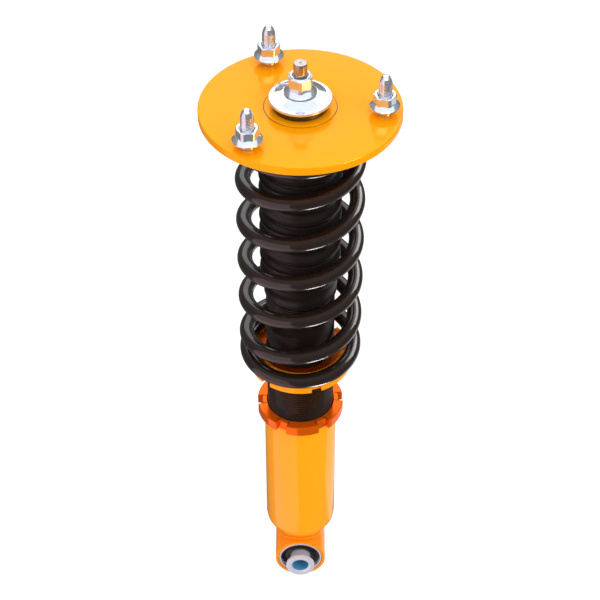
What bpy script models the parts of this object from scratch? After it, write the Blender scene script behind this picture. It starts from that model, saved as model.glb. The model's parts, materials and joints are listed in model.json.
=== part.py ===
"""Coil-over damper: top mount, spring, threaded damper body, perch, lock ring and lower eye bracket.

Frame: metres, +Z up along the damper's axis, origin at the centre of the top plate's mounting face.
The eye's bolt lies along Y.
"""

import math

import bmesh
import bpy
from mathutils import Matrix, Vector

# ---------------------------------------------------------------- driving dimensions (metres)
GAP = 0.0003                      # between pieces that touch or slide
ROUND = 32                        # sides of a large turned piece
SMALL_ROUND = 18                  # sides of a small turned piece
MERGE = 0.00001

PLATE_RADIUS = 0.0716
PLATE_THICKNESS = 0.0060
PLATE_CHAMFER = 0.0008

INSERT_RADIUS = 0.0254
INSERT_FLANGE_RADIUS = 0.0321
INSERT_BORE_RADIUS = 0.0100
INSERT_FLANGE_THICKNESS = 0.0050

STUD_COUNT = 3
STUD_CIRCLE_RADIUS = 0.0587
STUD_FIRST_ANGLE = math.radians(-7.4)
STUD_RADIUS = 0.0048
STUD_COLLAR_RADIUS = 0.0056
STUD_COLLAR_HEIGHT = 0.0052
STUD_CONE_START = 0.0246
STUD_TOP = 0.0308
STUD_TIP_RADIUS = 0.0019
STUD_HEAD_RADIUS = 0.0080
STUD_HEAD_THICKNESS = 0.0025

NUT_ACROSS_FLATS = 0.0150
NUT_HEIGHT = 0.0100
NUT_FLANGE_RADIUS = 0.0107
NUT_FLANGE_EDGE = 0.0014
NUT_FLANGE_HEIGHT = 0.0038
NUT_TURNS = (20.4, 28.4, 37.2)     # degrees from a corner on -Y; 30 puts a flat there

ROD_RADIUS = 0.00625
ROD_END_RADIUS = 0.0049
ROD_TOP = 0.0360
ROD_SHOULDER_Z = -0.0219
ROD_NUT_Z = 0.0120
ROD_NUT_ACROSS_FLATS = 0.0165
ROD_NUT_HEIGHT = 0.0140
ROD_NUT_FLANGE_RADIUS = 0.0116
ROD_NUT_FLANGE_EDGE = 0.0016
ROD_NUT_FLANGE_HEIGHT = 0.0042
ROD_NUT_TURN = 0.0                 # degrees, a corner on -Y

CUP_RADIUS = 0.0223
CUP_THICKNESS = 0.0025
CUP_RIM_Z = 0.0059
CUP_BOSS_RADIUS = 0.0125
UPPER_BUSH_RADIUS = 0.0200
LOWER_BUSH_RADIUS = 0.0160
LOWER_CUP_RADIUS = 0.0175
BUSH_NECK_RADIUS = 0.0097
SPACER_RADIUS = 0.0069

SEAT_RADIUS = 0.0485
SEAT_BOTTOM_Z = -0.0181
SEAT_HUB_RADIUS = 0.0350
SEAT_HUB_BOTTOM_Z = -0.0300
SEAT_HUB_BORE_RADIUS = 0.0315
SEAT_BORE_RADIUS = 0.0240

WIRE_RADIUS = 0.00575
SPRING_RADIUS = 0.0474            # outer
SPRING_PITCH = 0.0373
SPRING_POINTS_PER_TURN = 24
SPRING_TIP_ANGLE = math.radians(130.0)     # the lower tip lies at the back
SPRING_FLAT = math.radians(73.5)           # each end lies flat this far
SPRING_RAMP = math.radians(343.0)          # and then takes this far to reach the full pitch

BOOT_TOP_Z = -0.0188
BOOT_COLLAR_RADIUS = 0.0312
BOOT_RADIUS = 0.0304
BOOT_CUFF_TOP_Z = -0.1530
BOOT_BOTTOM_Z = -0.1683
BOOT_CUFF_RADIUS = 0.0284
BOOT_WALL = 0.0020

BODY_RADIUS = 0.0265              # thread crests
BODY_BORE_RADIUS = 0.0220
BODY_TOP_Z = -0.1230
BODY_BOTTOM_Z = -0.3980
THREAD_CLEARANCE = 0.0003

STROKE = 0.0600
BUMP_STOP_RADIUS = 0.0160
BUMP_STOP_LENGTH = 0.0400

PERCH_RADIUS = 0.0405
PERCH_HUB_RADIUS = 0.0331
PERCH_HUB_TOP_Z = -0.2284
PERCH_FLANGE_TOP_Z = -0.2349
PERCH_FLANGE_BOTTOM_Z = -0.2438
PERCH_NOTCH_WIDTH = 0.0080
PERCH_NOTCH_DEPTH = 0.0034
PERCH_NOTCH_ANGLE = math.radians(-71.6)

RING_RADIUS = 0.0346
RING_TOP_Z = -0.2884
RING_THICKNESS = 0.0090
RING_NOTCH_WIDTH = 0.0090
RING_NOTCH_DEPTH = 0.0038
RING_NOTCH_ANGLE = math.radians(-57.0)
NOTCH_COUNT = 6

BRACKET_RADIUS = 0.0290
BRACKET_BOTTOM_Z = -0.4324
BRACKET_CORNER_RADIUS = 0.0090
BRACKET_FLOOR = 0.0080

EYE_Z = -0.4670
EYE_RADIUS = 0.0215
EYE_HALF_LENGTH = 0.0212
EYE_BORE_RADIUS = 0.0189
NECK_RADIUS = 0.0165
OUTER_RING_RADIUS = 0.0186
OUTER_RING_BORE_RADIUS = 0.0170
OUTER_RING_HALF_LENGTH = 0.0206
RUBBER_RADIUS = 0.0167
RUBBER_BORE_RADIUS = 0.0090
RUBBER_HALF_LENGTH = 0.0190
SLEEVE_RADIUS = 0.0087
SLEEVE_BORE_RADIUS = 0.0071
SLEEVE_HALF_LENGTH = 0.0300
SLEEVE_FLANGE_RADIUS = 0.0122
SLEEVE_FLANGE_THICKNESS = 0.0032

# the damper's inside, from the body's top downwards
GLAND_NUT_LENGTH = 0.0100
SEAL_LENGTH = 0.0060
GUIDE_LENGTH = 0.0160
GUIDE_BUSH_RADIUS = 0.0085
REBOUND_STOP_LENGTH = 0.0080
REBOUND_STOP_RADIUS = 0.0120
SHIM_LENGTH = 0.0015
SHIM_RADIUS = 0.0150
PISTON_LENGTH = 0.0160
PISTON_RADIUS = 0.0217
PISTON_CORE_RADIUS = 0.0200
BAND_LENGTH = 0.0100
ROD_TENON_RADIUS = 0.0045
PISTON_NUT_LENGTH = 0.0080
PISTON_NUT_ACROSS_FLATS = 0.0160
FLOATING_PISTON_Z = -0.3000
FLOATING_PISTON_LENGTH = 0.0180
FLOATING_GROOVE_DEPTH = 0.0030
FLOATING_GROOVE_WIDTH = 0.0040
BASE_CAP_LENGTH = 0.0130
GAS_PLUG_RADIUS = 0.0040

ORANGE = (1.0, 0.42, 0.03, 1.0)
DEEP_ORANGE = (0.95, 0.22, 0.02, 1.0)
ZINC = (0.82, 0.83, 0.86, 1.0)
STEEL = (0.60, 0.61, 0.63, 1.0)
BLACK_COAT = (0.012, 0.010, 0.010, 1.0)
BLACK_BODY = (0.020, 0.017, 0.017, 1.0)
RUBBER = (0.012, 0.011, 0.011, 1.0)
FOAM = (0.75, 0.72, 0.55, 1.0)
POLYMER = (0.05, 0.13, 0.12, 1.0)


# ---------------------------------------------------------------- scene and helpers
def clear_scene():
    """Remove every object of the open scene."""
    for old in list(bpy.data.objects):
        bpy.data.objects.remove(old, do_unlink=True)


def new_collection(name):
    """Add a collection under the scene's own."""
    collection = bpy.data.collections.new(name)
    bpy.context.scene.collection.children.link(collection)
    return collection


def material(name, colour, roughness, metallic):
    """A Principled material with one colour."""
    result = bpy.data.materials.new(name)
    result.use_nodes = True
    shader = result.node_tree.nodes["Principled BSDF"]
    shader.inputs["Base Color"].default_value = colour
    shader.inputs["Roughness"].default_value = roughness
    shader.inputs["Metallic"].default_value = metallic
    return result


def add_mesh(name, mesh, finish, collection):
    """Put a mesh in a collection as an object with its own finish."""
    result = bpy.data.objects.new(name, mesh)
    collection.objects.link(result)
    if finish is not None:
        mesh.materials.append(finish)
    return result


def smooth(target):
    """Shade a piece smooth, with its edges over 35 degrees left sharp."""
    target.data.shade_smooth()
    target.data.set_sharp_from_angle(angle=math.radians(35.0))


def turned(name, outline, finish, collection, sides=ROUND):
    """A turned piece: outline is (radius, z) points from the top down the outer side, and back up the bore.

    An outline that starts and ends on the axis stays open there; any other is closed into a ring.
    """
    on_axis = outline[0][0] == 0.0
    mesh = bpy.data.meshes.new(name)
    count = len(outline)
    edges = [(i, i + 1) for i in range(count - 1)]
    if not on_axis:
        edges.append((count - 1, 0))
    mesh.from_pydata([(r, 0.0, z) for r, z in outline], edges, [])
    result = add_mesh(name, mesh, finish, collection)
    screw = result.modifiers.new("Turn", "SCREW")
    screw.steps = sides
    screw.render_steps = sides
    screw.use_merge_vertices = True
    screw.merge_threshold = MERGE
    screw.use_smooth_shade = True
    return result


def applied(source, name, collection):
    """Turn an object and its modifiers into a plain mesh object, and remove the first object."""
    bpy.context.view_layer.update()
    graph = bpy.context.evaluated_depsgraph_get()
    mesh = bpy.data.meshes.new_from_object(source.evaluated_get(graph))
    shape = bmesh.new()
    shape.from_mesh(mesh)
    bmesh.ops.remove_doubles(shape, verts=shape.verts, dist=MERGE)
    shape.to_mesh(mesh)
    shape.free()
    place = source.matrix_world.copy()
    bpy.data.objects.remove(source, do_unlink=True)
    result = bpy.data.objects.new(name, mesh)
    result.matrix_world = place
    collection.objects.link(result)
    return result


def prism(name, radius, low, high, sides, collection, turn=0.0, axis="Z", centre=(0.0, 0.0)):
    """A round or many-sided bar between two levels, along Z at an (x, y), or along Y at an (x, z)."""
    shape = bmesh.new()
    bmesh.ops.create_cone(
        shape, cap_ends=True, segments=sides, radius1=radius, radius2=radius, depth=high - low,
    )
    bmesh.ops.rotate(shape, verts=shape.verts, matrix=Matrix.Rotation(turn, 3, "Z"))
    if axis == "Y":
        bmesh.ops.rotate(shape, verts=shape.verts, matrix=Matrix.Rotation(math.pi / 2.0, 3, "X"))
        middle = Vector((centre[0], (low + high) / 2.0, centre[1]))
    else:
        middle = Vector((centre[0], centre[1], (low + high) / 2.0))
    bmesh.ops.translate(shape, verts=shape.verts, vec=middle)
    mesh = bpy.data.meshes.new(name)
    shape.to_mesh(mesh)
    shape.free()
    return add_mesh(name, mesh, None, collection)


def as_cutter(target):
    """Mark a shape as a tool that isn't part of the model."""
    target.hide_render = True
    target.display_type = "WIRE"
    return target


def combine(target, other, operation):
    """Join or cut a piece with a tool shape."""
    change = target.modifiers.new(operation.title(), "BOOLEAN")
    change.operation = operation
    change.object = as_cutter(other)
    change.solver = "EXACT"


def cut(target, tool):
    """Cut a tool's shape out of a piece."""
    combine(target, tool, "DIFFERENCE")


def join(target, other):
    """Join a shape to a piece."""
    combine(target, other, "UNION")


def notch_tool(name, count, first_angle, radius, depth, width, low, high, collection):
    """Boxes round a circle that cut square notches into a rim."""
    shape = bmesh.new()
    reach = depth * 2.0
    for index in range(count):
        angle = first_angle + index * 2.0 * math.pi / count
        block = bmesh.ops.create_cube(shape, size=1.0)["verts"]
        bmesh.ops.scale(shape, verts=block, vec=(reach, width, high - low))
        middle = Vector((radius - depth + reach / 2.0, 0.0, (low + high) / 2.0))
        bmesh.ops.translate(shape, verts=block, vec=middle)
        bmesh.ops.rotate(shape, verts=block, matrix=Matrix.Rotation(angle, 3, "Z"))
    mesh = bpy.data.meshes.new(name)
    shape.to_mesh(mesh)
    shape.free()
    return add_mesh(name, mesh, None, collection)


def corner_arc(radius, corner, z, steps):
    """Points of a rounded lower outer corner, from the side to the bottom."""
    points = []
    for step in range(steps + 1):
        angle = step * math.pi / 2.0 / steps
        points.append((radius - corner + corner * math.cos(angle), z + corner - corner * math.sin(angle)))
    return points


def on_circle(index):
    """Centre of one stud on the stud circle."""
    angle = STUD_FIRST_ANGLE + index * 2.0 * math.pi / STUD_COUNT
    return Vector((STUD_CIRCLE_RADIUS * math.cos(angle), STUD_CIRCLE_RADIUS * math.sin(angle), 0.0))


def hex_radius(across_flats):
    """Corner radius of a hexagon."""
    return across_flats / 2.0 / math.cos(math.pi / 6.0)


# ---------------------------------------------------------------- top mount
def build_top_plate(parts, tools, finish):
    """Round plate with a hole for the insert and three for the studs."""
    bore = INSERT_RADIUS + GAP
    edge = PLATE_RADIUS - PLATE_CHAMFER
    outline = [
        (bore, 0.0),
        (edge, 0.0),
        (PLATE_RADIUS, -PLATE_CHAMFER),
        (PLATE_RADIUS, PLATE_CHAMFER - PLATE_THICKNESS),
        (edge, -PLATE_THICKNESS),
        (bore, -PLATE_THICKNESS),
    ]
    plate = turned("top_plate", outline, finish, parts, 48)
    for index in range(STUD_COUNT):
        spot = on_circle(index)
        hole = prism(
            f"stud_hole_{index + 1}", STUD_RADIUS + GAP, -2.0 * PLATE_THICKNESS, PLATE_THICKNESS,
            SMALL_ROUND, tools, centre=(spot.x, spot.y),
        )
        cut(plate, hole)


def build_centre_insert(parts, finish):
    """Insert that carries the rod's rubber mount, with a flange that bears on the plate from below."""
    flange_top = -PLATE_THICKNESS - GAP
    outline = [
        (INSERT_BORE_RADIUS, GAP),
        (INSERT_RADIUS, GAP),
        (INSERT_RADIUS, flange_top),
        (INSERT_FLANGE_RADIUS, flange_top),
        (INSERT_FLANGE_RADIUS, flange_top - INSERT_FLANGE_THICKNESS),
        (INSERT_BORE_RADIUS, flange_top - INSERT_FLANGE_THICKNESS),
    ]
    turned("centre_insert", outline, finish, parts)


def build_studs(parts, finish):
    """Studs pressed up through the plate, with a collar above it and a head below it."""
    under = -PLATE_THICKNESS - GAP
    outline = [
        (0.0, STUD_TOP),
        (STUD_TIP_RADIUS, STUD_TOP),
        (STUD_RADIUS, STUD_CONE_START),
        (STUD_RADIUS, STUD_COLLAR_HEIGHT),
        (STUD_COLLAR_RADIUS, STUD_COLLAR_HEIGHT),
        (STUD_COLLAR_RADIUS, GAP),
        (STUD_RADIUS, GAP),
        (STUD_RADIUS, under),
        (STUD_HEAD_RADIUS, under),
        (STUD_HEAD_RADIUS, under - STUD_HEAD_THICKNESS),
        (0.0, under - STUD_HEAD_THICKNESS),
    ]
    for index in range(STUD_COUNT):
        stud = turned(f"stud_{index + 1}", outline, finish, parts, 16)
        stud.location = on_circle(index)


def build_flange_nut(name, place, low, sizes, turn, bore, finish, parts, tools):
    """Hexagon nut with a coned flange: sizes are its height, across flats, flange radius, edge and height."""
    height, across_flats, flange_radius, flange_edge, flange_height = sizes
    waist = across_flats / 2.0
    outline = [
        (0.0, low + flange_height),
        (waist, low + flange_height),
        (flange_radius, low + flange_edge),
        (flange_radius, low),
        (0.0, low),
    ]
    nut = turned(name, outline, finish, parts, SMALL_ROUND)
    spot = (0.0, 0.0)
    hexagon = prism(
        f"{name}_hexagon", hex_radius(across_flats), low + flange_edge, low + height, 6, tools,
        turn=math.radians(turn), centre=spot,
    )
    drill = prism(f"{name}_bore", bore, low - height, low + 2.0 * height, SMALL_ROUND, tools, centre=spot)
    for piece in (nut, hexagon, drill):
        piece.location = place
    join(nut, hexagon)
    cut(nut, drill)


def build_stud_nuts(parts, tools, finish):
    """Flange nuts that stand on the studs' collars."""
    sizes = (NUT_HEIGHT, NUT_ACROSS_FLATS, NUT_FLANGE_RADIUS, NUT_FLANGE_EDGE, NUT_FLANGE_HEIGHT)
    low = STUD_COLLAR_HEIGHT + GAP
    for index, turn in enumerate(NUT_TURNS):
        name = f"stud_nut_{index + 1}"
        build_flange_nut(name, on_circle(index), low, sizes, turn, STUD_RADIUS + GAP, finish, parts, tools)


def build_upper_spring_seat(parts, finish):
    """Ring under the plate: the spring's top coil bears on it and the boot hangs in its hub."""
    top = -PLATE_THICKNESS - GAP
    pocket = top - INSERT_FLANGE_THICKNESS - GAP
    outline = [
        (INSERT_FLANGE_RADIUS + GAP, top),
        (SEAT_RADIUS, top),
        (SEAT_RADIUS, SEAT_BOTTOM_Z),
        (SEAT_HUB_RADIUS, SEAT_BOTTOM_Z),
        (SEAT_HUB_RADIUS, SEAT_HUB_BOTTOM_Z),
        (SEAT_HUB_BORE_RADIUS, SEAT_HUB_BOTTOM_Z),
        (SEAT_HUB_BORE_RADIUS, SEAT_BOTTOM_Z),
        (SEAT_BORE_RADIUS, SEAT_BOTTOM_Z),
        (SEAT_BORE_RADIUS, pocket),
        (INSERT_FLANGE_RADIUS + GAP, pocket),
    ]
    turned("upper_spring_seat", outline, finish, parts)


# ---------------------------------------------------------------- rod and what it carries
def cup_outline(radius, rim_z, boss_z, boss_radius, thickness, bore):
    """Outline of a dished washer whose centre stands above its rim."""
    return [
        (bore, boss_z + thickness),
        (boss_radius, boss_z + thickness),
        (radius, rim_z + thickness),
        (radius, rim_z),
        (boss_radius, boss_z),
        (bore, boss_z),
    ]


def build_rod_mount(parts, tools, metal, rubber):
    """Nut, cup washers, rubber bushes and spacer that clamp the rod's end to the insert."""
    hole = ROD_END_RADIUS + GAP
    boss_z = ROD_NUT_Z - GAP - CUP_THICKNESS
    cup = cup_outline(CUP_RADIUS, CUP_RIM_Z, boss_z, CUP_BOSS_RADIUS, CUP_THICKNESS, hole)
    turned("upper_cup_washer", cup, metal, parts)
    bush_bore = SPACER_RADIUS + GAP
    neck_low = -PLATE_THICKNESS / 2.0
    insert_low = -PLATE_THICKNESS - GAP - INSERT_FLANGE_THICKNESS
    upper = [
        (bush_bore, boss_z - GAP),
        (CUP_BOSS_RADIUS - GAP, boss_z - GAP),
        (UPPER_BUSH_RADIUS, CUP_RIM_Z),
        (UPPER_BUSH_RADIUS, 2.0 * GAP),
        (BUSH_NECK_RADIUS, 2.0 * GAP),
        (BUSH_NECK_RADIUS, neck_low),
        (bush_bore, neck_low),
    ]
    turned("upper_rubber_bush", upper, rubber, parts)
    lower_top = insert_low - GAP
    lower_bottom = ROD_SHOULDER_Z + GAP + CUP_THICKNESS + GAP
    lower = [
        (bush_bore, neck_low - GAP),
        (BUSH_NECK_RADIUS, neck_low - GAP),
        (BUSH_NECK_RADIUS, lower_top),
        (LOWER_BUSH_RADIUS, lower_top),
        (LOWER_BUSH_RADIUS, lower_bottom),
        (bush_bore, lower_bottom),
    ]
    turned("lower_rubber_bush", lower, rubber, parts)
    spacer = [
        (hole, boss_z - GAP),
        (SPACER_RADIUS, boss_z - GAP),
        (SPACER_RADIUS, lower_bottom),
        (hole, lower_bottom),
    ]
    turned("spacer_sleeve", spacer, metal, parts, SMALL_ROUND)
    washer_low = ROD_SHOULDER_Z + GAP
    washer = [
        (hole, washer_low + CUP_THICKNESS),
        (LOWER_CUP_RADIUS, washer_low + CUP_THICKNESS),
        (LOWER_CUP_RADIUS, washer_low),
        (hole, washer_low),
    ]
    turned("lower_cup_washer", washer, metal, parts)
    sizes = (
        ROD_NUT_HEIGHT, ROD_NUT_ACROSS_FLATS, ROD_NUT_FLANGE_RADIUS, ROD_NUT_FLANGE_EDGE,
        ROD_NUT_FLANGE_HEIGHT,
    )
    centre = Vector((0.0, 0.0, 0.0))
    build_flange_nut("rod_nut", centre, ROD_NUT_Z, sizes, ROD_NUT_TURN, hole, metal, parts, tools)


def piston_levels():
    """Levels of the pieces on the rod's lower end, from the rebound stop's top down."""
    levels = {}
    z = BODY_TOP_Z - GLAND_NUT_LENGTH - SEAL_LENGTH - GUIDE_LENGTH - 3.0 * GAP
    for name, length in (
        ("rebound_stop", REBOUND_STOP_LENGTH),
        ("rebound_shims", SHIM_LENGTH),
        ("piston", PISTON_LENGTH),
        ("compression_shims", SHIM_LENGTH),
        ("piston_nut", PISTON_NUT_LENGTH),
    ):
        levels[name] = (z - length, z)
        z -= length + GAP
    return levels


def build_piston_rod(parts, finish):
    """Ground rod with a thin upper end for the nut and a tenon for the piston."""
    levels = piston_levels()
    shoulder = levels["rebound_shims"][1] + GAP
    end = levels["piston_nut"][0] - 0.002
    outline = [
        (0.0, ROD_TOP),
        (ROD_END_RADIUS - 0.0006, ROD_TOP),
        (ROD_END_RADIUS, ROD_TOP - 0.0006),
        (ROD_END_RADIUS, ROD_SHOULDER_Z),
        (ROD_RADIUS, ROD_SHOULDER_Z),
        (ROD_RADIUS, shoulder),
        (ROD_TENON_RADIUS, shoulder),
        (ROD_TENON_RADIUS, end),
        (0.0, end),
    ]
    turned("piston_rod", outline, finish, parts, SMALL_ROUND)


def build_bump_stop(parts, finish):
    """Foam stop under the lower washer, waisted twice."""
    top = ROD_SHOULDER_Z - GAP
    bottom = top - BUMP_STOP_LENGTH
    waist = BUMP_STOP_RADIUS * 0.8
    third = BUMP_STOP_LENGTH / 3.0
    bore = ROD_RADIUS + GAP
    outline = [
        (bore, top),
        (BUMP_STOP_RADIUS, top),
        (BUMP_STOP_RADIUS, top - third * 0.8),
        (waist, top - third),
        (BUMP_STOP_RADIUS, top - third * 1.2),
        (BUMP_STOP_RADIUS, top - third * 1.8),
        (waist, top - third * 2.0),
        (BUMP_STOP_RADIUS * 0.9, top - third * 2.2),
        (BUMP_STOP_RADIUS * 0.75, bottom),
        (bore, bottom),
    ]
    turned("bump_stop", outline, finish, parts, SMALL_ROUND)


def ring(name, outer, inner, low, high, finish, parts, sides=SMALL_ROUND):
    """A plain ring."""
    outline = [(inner, high), (outer, high), (outer, low), (inner, low)]
    return turned(name, outline, finish, parts, sides)


def build_piston(parts, tools, metal, polymer):
    """Rebound stop, shims, piston with its band, and the nut that holds them on the tenon."""
    levels = piston_levels()
    hole = ROD_TENON_RADIUS + GAP
    low, high = levels["rebound_stop"]
    ring("rebound_stop", REBOUND_STOP_RADIUS, ROD_RADIUS + GAP, low, high, polymer, parts)
    for name in ("rebound_shims", "compression_shims"):
        low, high = levels[name]
        ring(name, SHIM_RADIUS, hole, low, high, metal, parts)
    low, high = levels["piston"]
    middle = (low + high) / 2.0
    band_low = middle - BAND_LENGTH / 2.0
    band_high = middle + BAND_LENGTH / 2.0
    outline = [
        (hole, high),
        (PISTON_RADIUS - GAP, high),
        (PISTON_RADIUS - GAP, band_high + GAP),
        (PISTON_CORE_RADIUS, band_high + GAP),
        (PISTON_CORE_RADIUS, band_low - GAP),
        (PISTON_RADIUS - GAP, band_low - GAP),
        (PISTON_RADIUS - GAP, low),
        (hole, low),
    ]
    turned("piston", outline, metal, parts, SMALL_ROUND)
    ring("piston_band", PISTON_RADIUS, PISTON_CORE_RADIUS + GAP, band_low, band_high, polymer, parts)
    low, high = levels["piston_nut"]
    nut = prism("piston_nut", hex_radius(PISTON_NUT_ACROSS_FLATS), low, high, 6, parts)
    nut.data.materials.append(metal)
    cut(nut, prism("piston_nut_bore", hole, low - GAP, high + GAP, SMALL_ROUND, tools))


# ---------------------------------------------------------------- damper body
def build_damper_body(parts, tools, coat, metal, polymer, rubber):
    """Threaded tube with the gland, seal, guide and bush at its top and a cap at its bottom."""
    ring("damper_tube", BODY_RADIUS, BODY_BORE_RADIUS, BODY_BOTTOM_Z, BODY_TOP_Z, coat, parts, ROUND)
    inside = BODY_BORE_RADIUS - GAP
    shaft = ROD_RADIUS + GAP
    z = BODY_TOP_Z
    ring("gland_nut", inside, shaft, z - GLAND_NUT_LENGTH, z, metal, parts)
    z -= GLAND_NUT_LENGTH + GAP
    ring("rod_seal", inside, shaft, z - SEAL_LENGTH, z, rubber, parts)
    z -= SEAL_LENGTH + GAP
    ring("rod_guide", inside, GUIDE_BUSH_RADIUS + GAP, z - GUIDE_LENGTH, z, metal, parts)
    ring("guide_bush", GUIDE_BUSH_RADIUS, shaft, z - GUIDE_LENGTH, z, polymer, parts)
    cap_high = BODY_BOTTOM_Z + BASE_CAP_LENGTH
    ring("base_cap", inside, GAS_PLUG_RADIUS + GAP, BODY_BOTTOM_Z, cap_high, metal, parts)
    plug = prism("gas_plug", GAS_PLUG_RADIUS, BODY_BOTTOM_Z, cap_high, 16, parts)
    plug.data.materials.append(metal)
    socket_high = BODY_BOTTOM_Z + 0.003
    cut(plug, prism("gas_plug_socket", GAS_PLUG_RADIUS / 2.0, BODY_BOTTOM_Z - GAP, socket_high, 6, tools))


def build_floating_piston(parts, metal, rubber):
    """Piston that floats between the oil and the gas, with its ring in a groove."""
    high = FLOATING_PISTON_Z
    low = high - FLOATING_PISTON_LENGTH
    middle = (low + high) / 2.0
    half = FLOATING_GROOVE_WIDTH / 2.0
    outer = BODY_BORE_RADIUS - GAP
    floor = outer - FLOATING_GROOVE_DEPTH
    outline = [
        (0.0, high),
        (outer, high),
        (outer, middle + half + GAP),
        (floor, middle + half + GAP),
        (floor, middle - half - GAP),
        (outer, middle - half - GAP),
        (outer, low),
        (0.0, low),
    ]
    turned("floating_piston", outline, metal, parts, SMALL_ROUND)
    ring("floating_piston_ring", outer, floor + GAP, middle - half, middle + half, rubber, parts)


def build_dust_boot(parts, finish):
    """Plain sleeve of the boot's outer size, closed round the body at its cuff."""
    collar_low = SEAT_HUB_BOTTOM_Z - 0.001
    inside = BOOT_RADIUS - BOOT_WALL
    cuff_bore = BODY_RADIUS + THREAD_CLEARANCE
    outline = [
        (inside, BOOT_TOP_Z),
        (BOOT_COLLAR_RADIUS, BOOT_TOP_Z),
        (BOOT_COLLAR_RADIUS, collar_low),
        (BOOT_RADIUS, collar_low - 0.001),
        (BOOT_RADIUS, BOOT_CUFF_TOP_Z),
        (BOOT_CUFF_RADIUS, BOOT_BOTTOM_Z),
        (cuff_bore, BOOT_BOTTOM_Z),
        (cuff_bore, BOOT_CUFF_TOP_Z),
        (inside, BOOT_CUFF_TOP_Z + 0.003),
    ]
    turned("dust_boot", outline, finish, parts, 32)


# ---------------------------------------------------------------- spring, perch and lock ring
def spring_height(angle, low, last_angle, ramp_angle):
    """Height of the wire's centre at an angle past the lower tip.

    The pitch grows evenly from nothing to full over ramp_angle and fades the same way at the top.
    """
    rate = SPRING_PITCH / (2.0 * math.pi)
    start = SPRING_FLAT
    first = min(max(angle - start, 0.0), ramp_angle)
    height = first * first / (2.0 * ramp_angle)
    height += max(angle - start - ramp_angle, 0.0)
    fade = max(angle - (last_angle - start - ramp_angle), 0.0)
    fade = min(fade, ramp_angle)
    height -= fade * fade / (2.0 * ramp_angle)
    height -= max(angle - (last_angle - start), 0.0)
    return low + rate * height


def build_coil_spring(parts, finish):
    """Right-handed round-wire spring with both ends closed, seated between the perch and the upper seat."""
    low = PERCH_FLANGE_TOP_Z + GAP + WIRE_RADIUS
    high = SEAT_BOTTOM_Z - GAP - WIRE_RADIUS
    ramp = SPRING_RAMP
    start = SPRING_FLAT
    rate = SPRING_PITCH / (2.0 * math.pi)
    last_angle = (high - low) / rate + 2.0 * start + ramp
    centre_radius = SPRING_RADIUS - WIRE_RADIUS
    count = int(round(last_angle / (2.0 * math.pi) * SPRING_POINTS_PER_TURN))
    curve = bpy.data.curves.new("coil_spring", "CURVE")
    curve.dimensions = "3D"
    curve.bevel_depth = WIRE_RADIUS
    curve.bevel_resolution = 2
    curve.use_fill_caps = True
    line = curve.splines.new("POLY")
    line.points.add(count)
    for index in range(count + 1):
        angle = last_angle * index / count
        turn = SPRING_TIP_ANGLE + angle
        x = centre_radius * math.cos(turn)
        y = centre_radius * math.sin(turn)
        z = spring_height(angle, low, last_angle, ramp)
        line.points[index].co = (x, y, z, 1.0)
    curve.materials.append(finish)
    spring = bpy.data.objects.new("coil_spring", curve)
    parts.objects.link(spring)


def build_spring_perch(parts, tools, finish):
    """Castellated flange that carries the spring, with a hub that locates it."""
    bore = BODY_RADIUS + THREAD_CLEARANCE
    outline = [
        (bore, PERCH_HUB_TOP_Z),
        (PERCH_HUB_RADIUS, PERCH_HUB_TOP_Z),
        (PERCH_HUB_RADIUS, PERCH_FLANGE_TOP_Z),
        (PERCH_RADIUS, PERCH_FLANGE_TOP_Z),
        (PERCH_RADIUS, PERCH_FLANGE_BOTTOM_Z),
        (bore, PERCH_FLANGE_BOTTOM_Z),
    ]
    perch = turned("spring_perch", outline, finish, parts, 36)
    low = PERCH_FLANGE_BOTTOM_Z - 0.002
    high = PERCH_FLANGE_TOP_Z + 0.002
    tool = notch_tool(
        "perch_notches", NOTCH_COUNT, PERCH_NOTCH_ANGLE, PERCH_RADIUS, PERCH_NOTCH_DEPTH,
        PERCH_NOTCH_WIDTH, low, high, tools,
    )
    cut(perch, tool)


def build_lock_ring(parts, tools, finish):
    """Castellated ring that locks the bracket on the body's thread."""
    low = RING_TOP_Z - RING_THICKNESS
    outline = [
        (BODY_RADIUS + THREAD_CLEARANCE, RING_TOP_Z),
        (RING_RADIUS, RING_TOP_Z),
        (RING_RADIUS, low),
        (BODY_RADIUS + THREAD_CLEARANCE, low),
    ]
    lock = turned("lower_lock_ring", outline, finish, parts, 36)
    tool = notch_tool(
        "ring_notches", NOTCH_COUNT, RING_NOTCH_ANGLE, RING_RADIUS, RING_NOTCH_DEPTH,
        RING_NOTCH_WIDTH, low - 0.002, RING_TOP_Z + 0.002, tools,
    )
    cut(lock, tool)


# ---------------------------------------------------------------- lower bracket and eye
def build_bracket_tube(parts, finish):
    """Threaded cup that the body screws into, with a rounded lower edge."""
    top = RING_TOP_Z - RING_THICKNESS - GAP
    bore = BODY_RADIUS + THREAD_CLEARANCE
    floor_z = BRACKET_BOTTOM_Z + BRACKET_FLOOR
    outline = [(0.0, floor_z), (bore, floor_z), (bore, top), (BRACKET_RADIUS, top)]
    outline += corner_arc(BRACKET_RADIUS, BRACKET_CORNER_RADIUS, BRACKET_BOTTOM_Z, 6)
    outline.append((0.0, BRACKET_BOTTOM_Z))
    turned("bracket_tube", outline, finish, parts)


def build_eye_barrel(parts, tools, finish):
    """Barrel across the damper's axis, with the neck that carries it under the tube."""
    centre = (0.0, EYE_Z)
    half = EYE_HALF_LENGTH
    barrel = prism("eye_barrel", EYE_RADIUS, -half, half, ROUND, parts, axis="Y", centre=centre)
    barrel.data.materials.append(finish)
    neck = prism("eye_neck", NECK_RADIUS, EYE_Z, BRACKET_BOTTOM_Z - GAP, 32, tools)
    bore = prism("eye_bore", EYE_BORE_RADIUS, -2.0 * half, 2.0 * half, ROUND, tools, axis="Y", centre=centre)
    join(barrel, neck)
    cut(barrel, bore)
    smooth(barrel)


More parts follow.
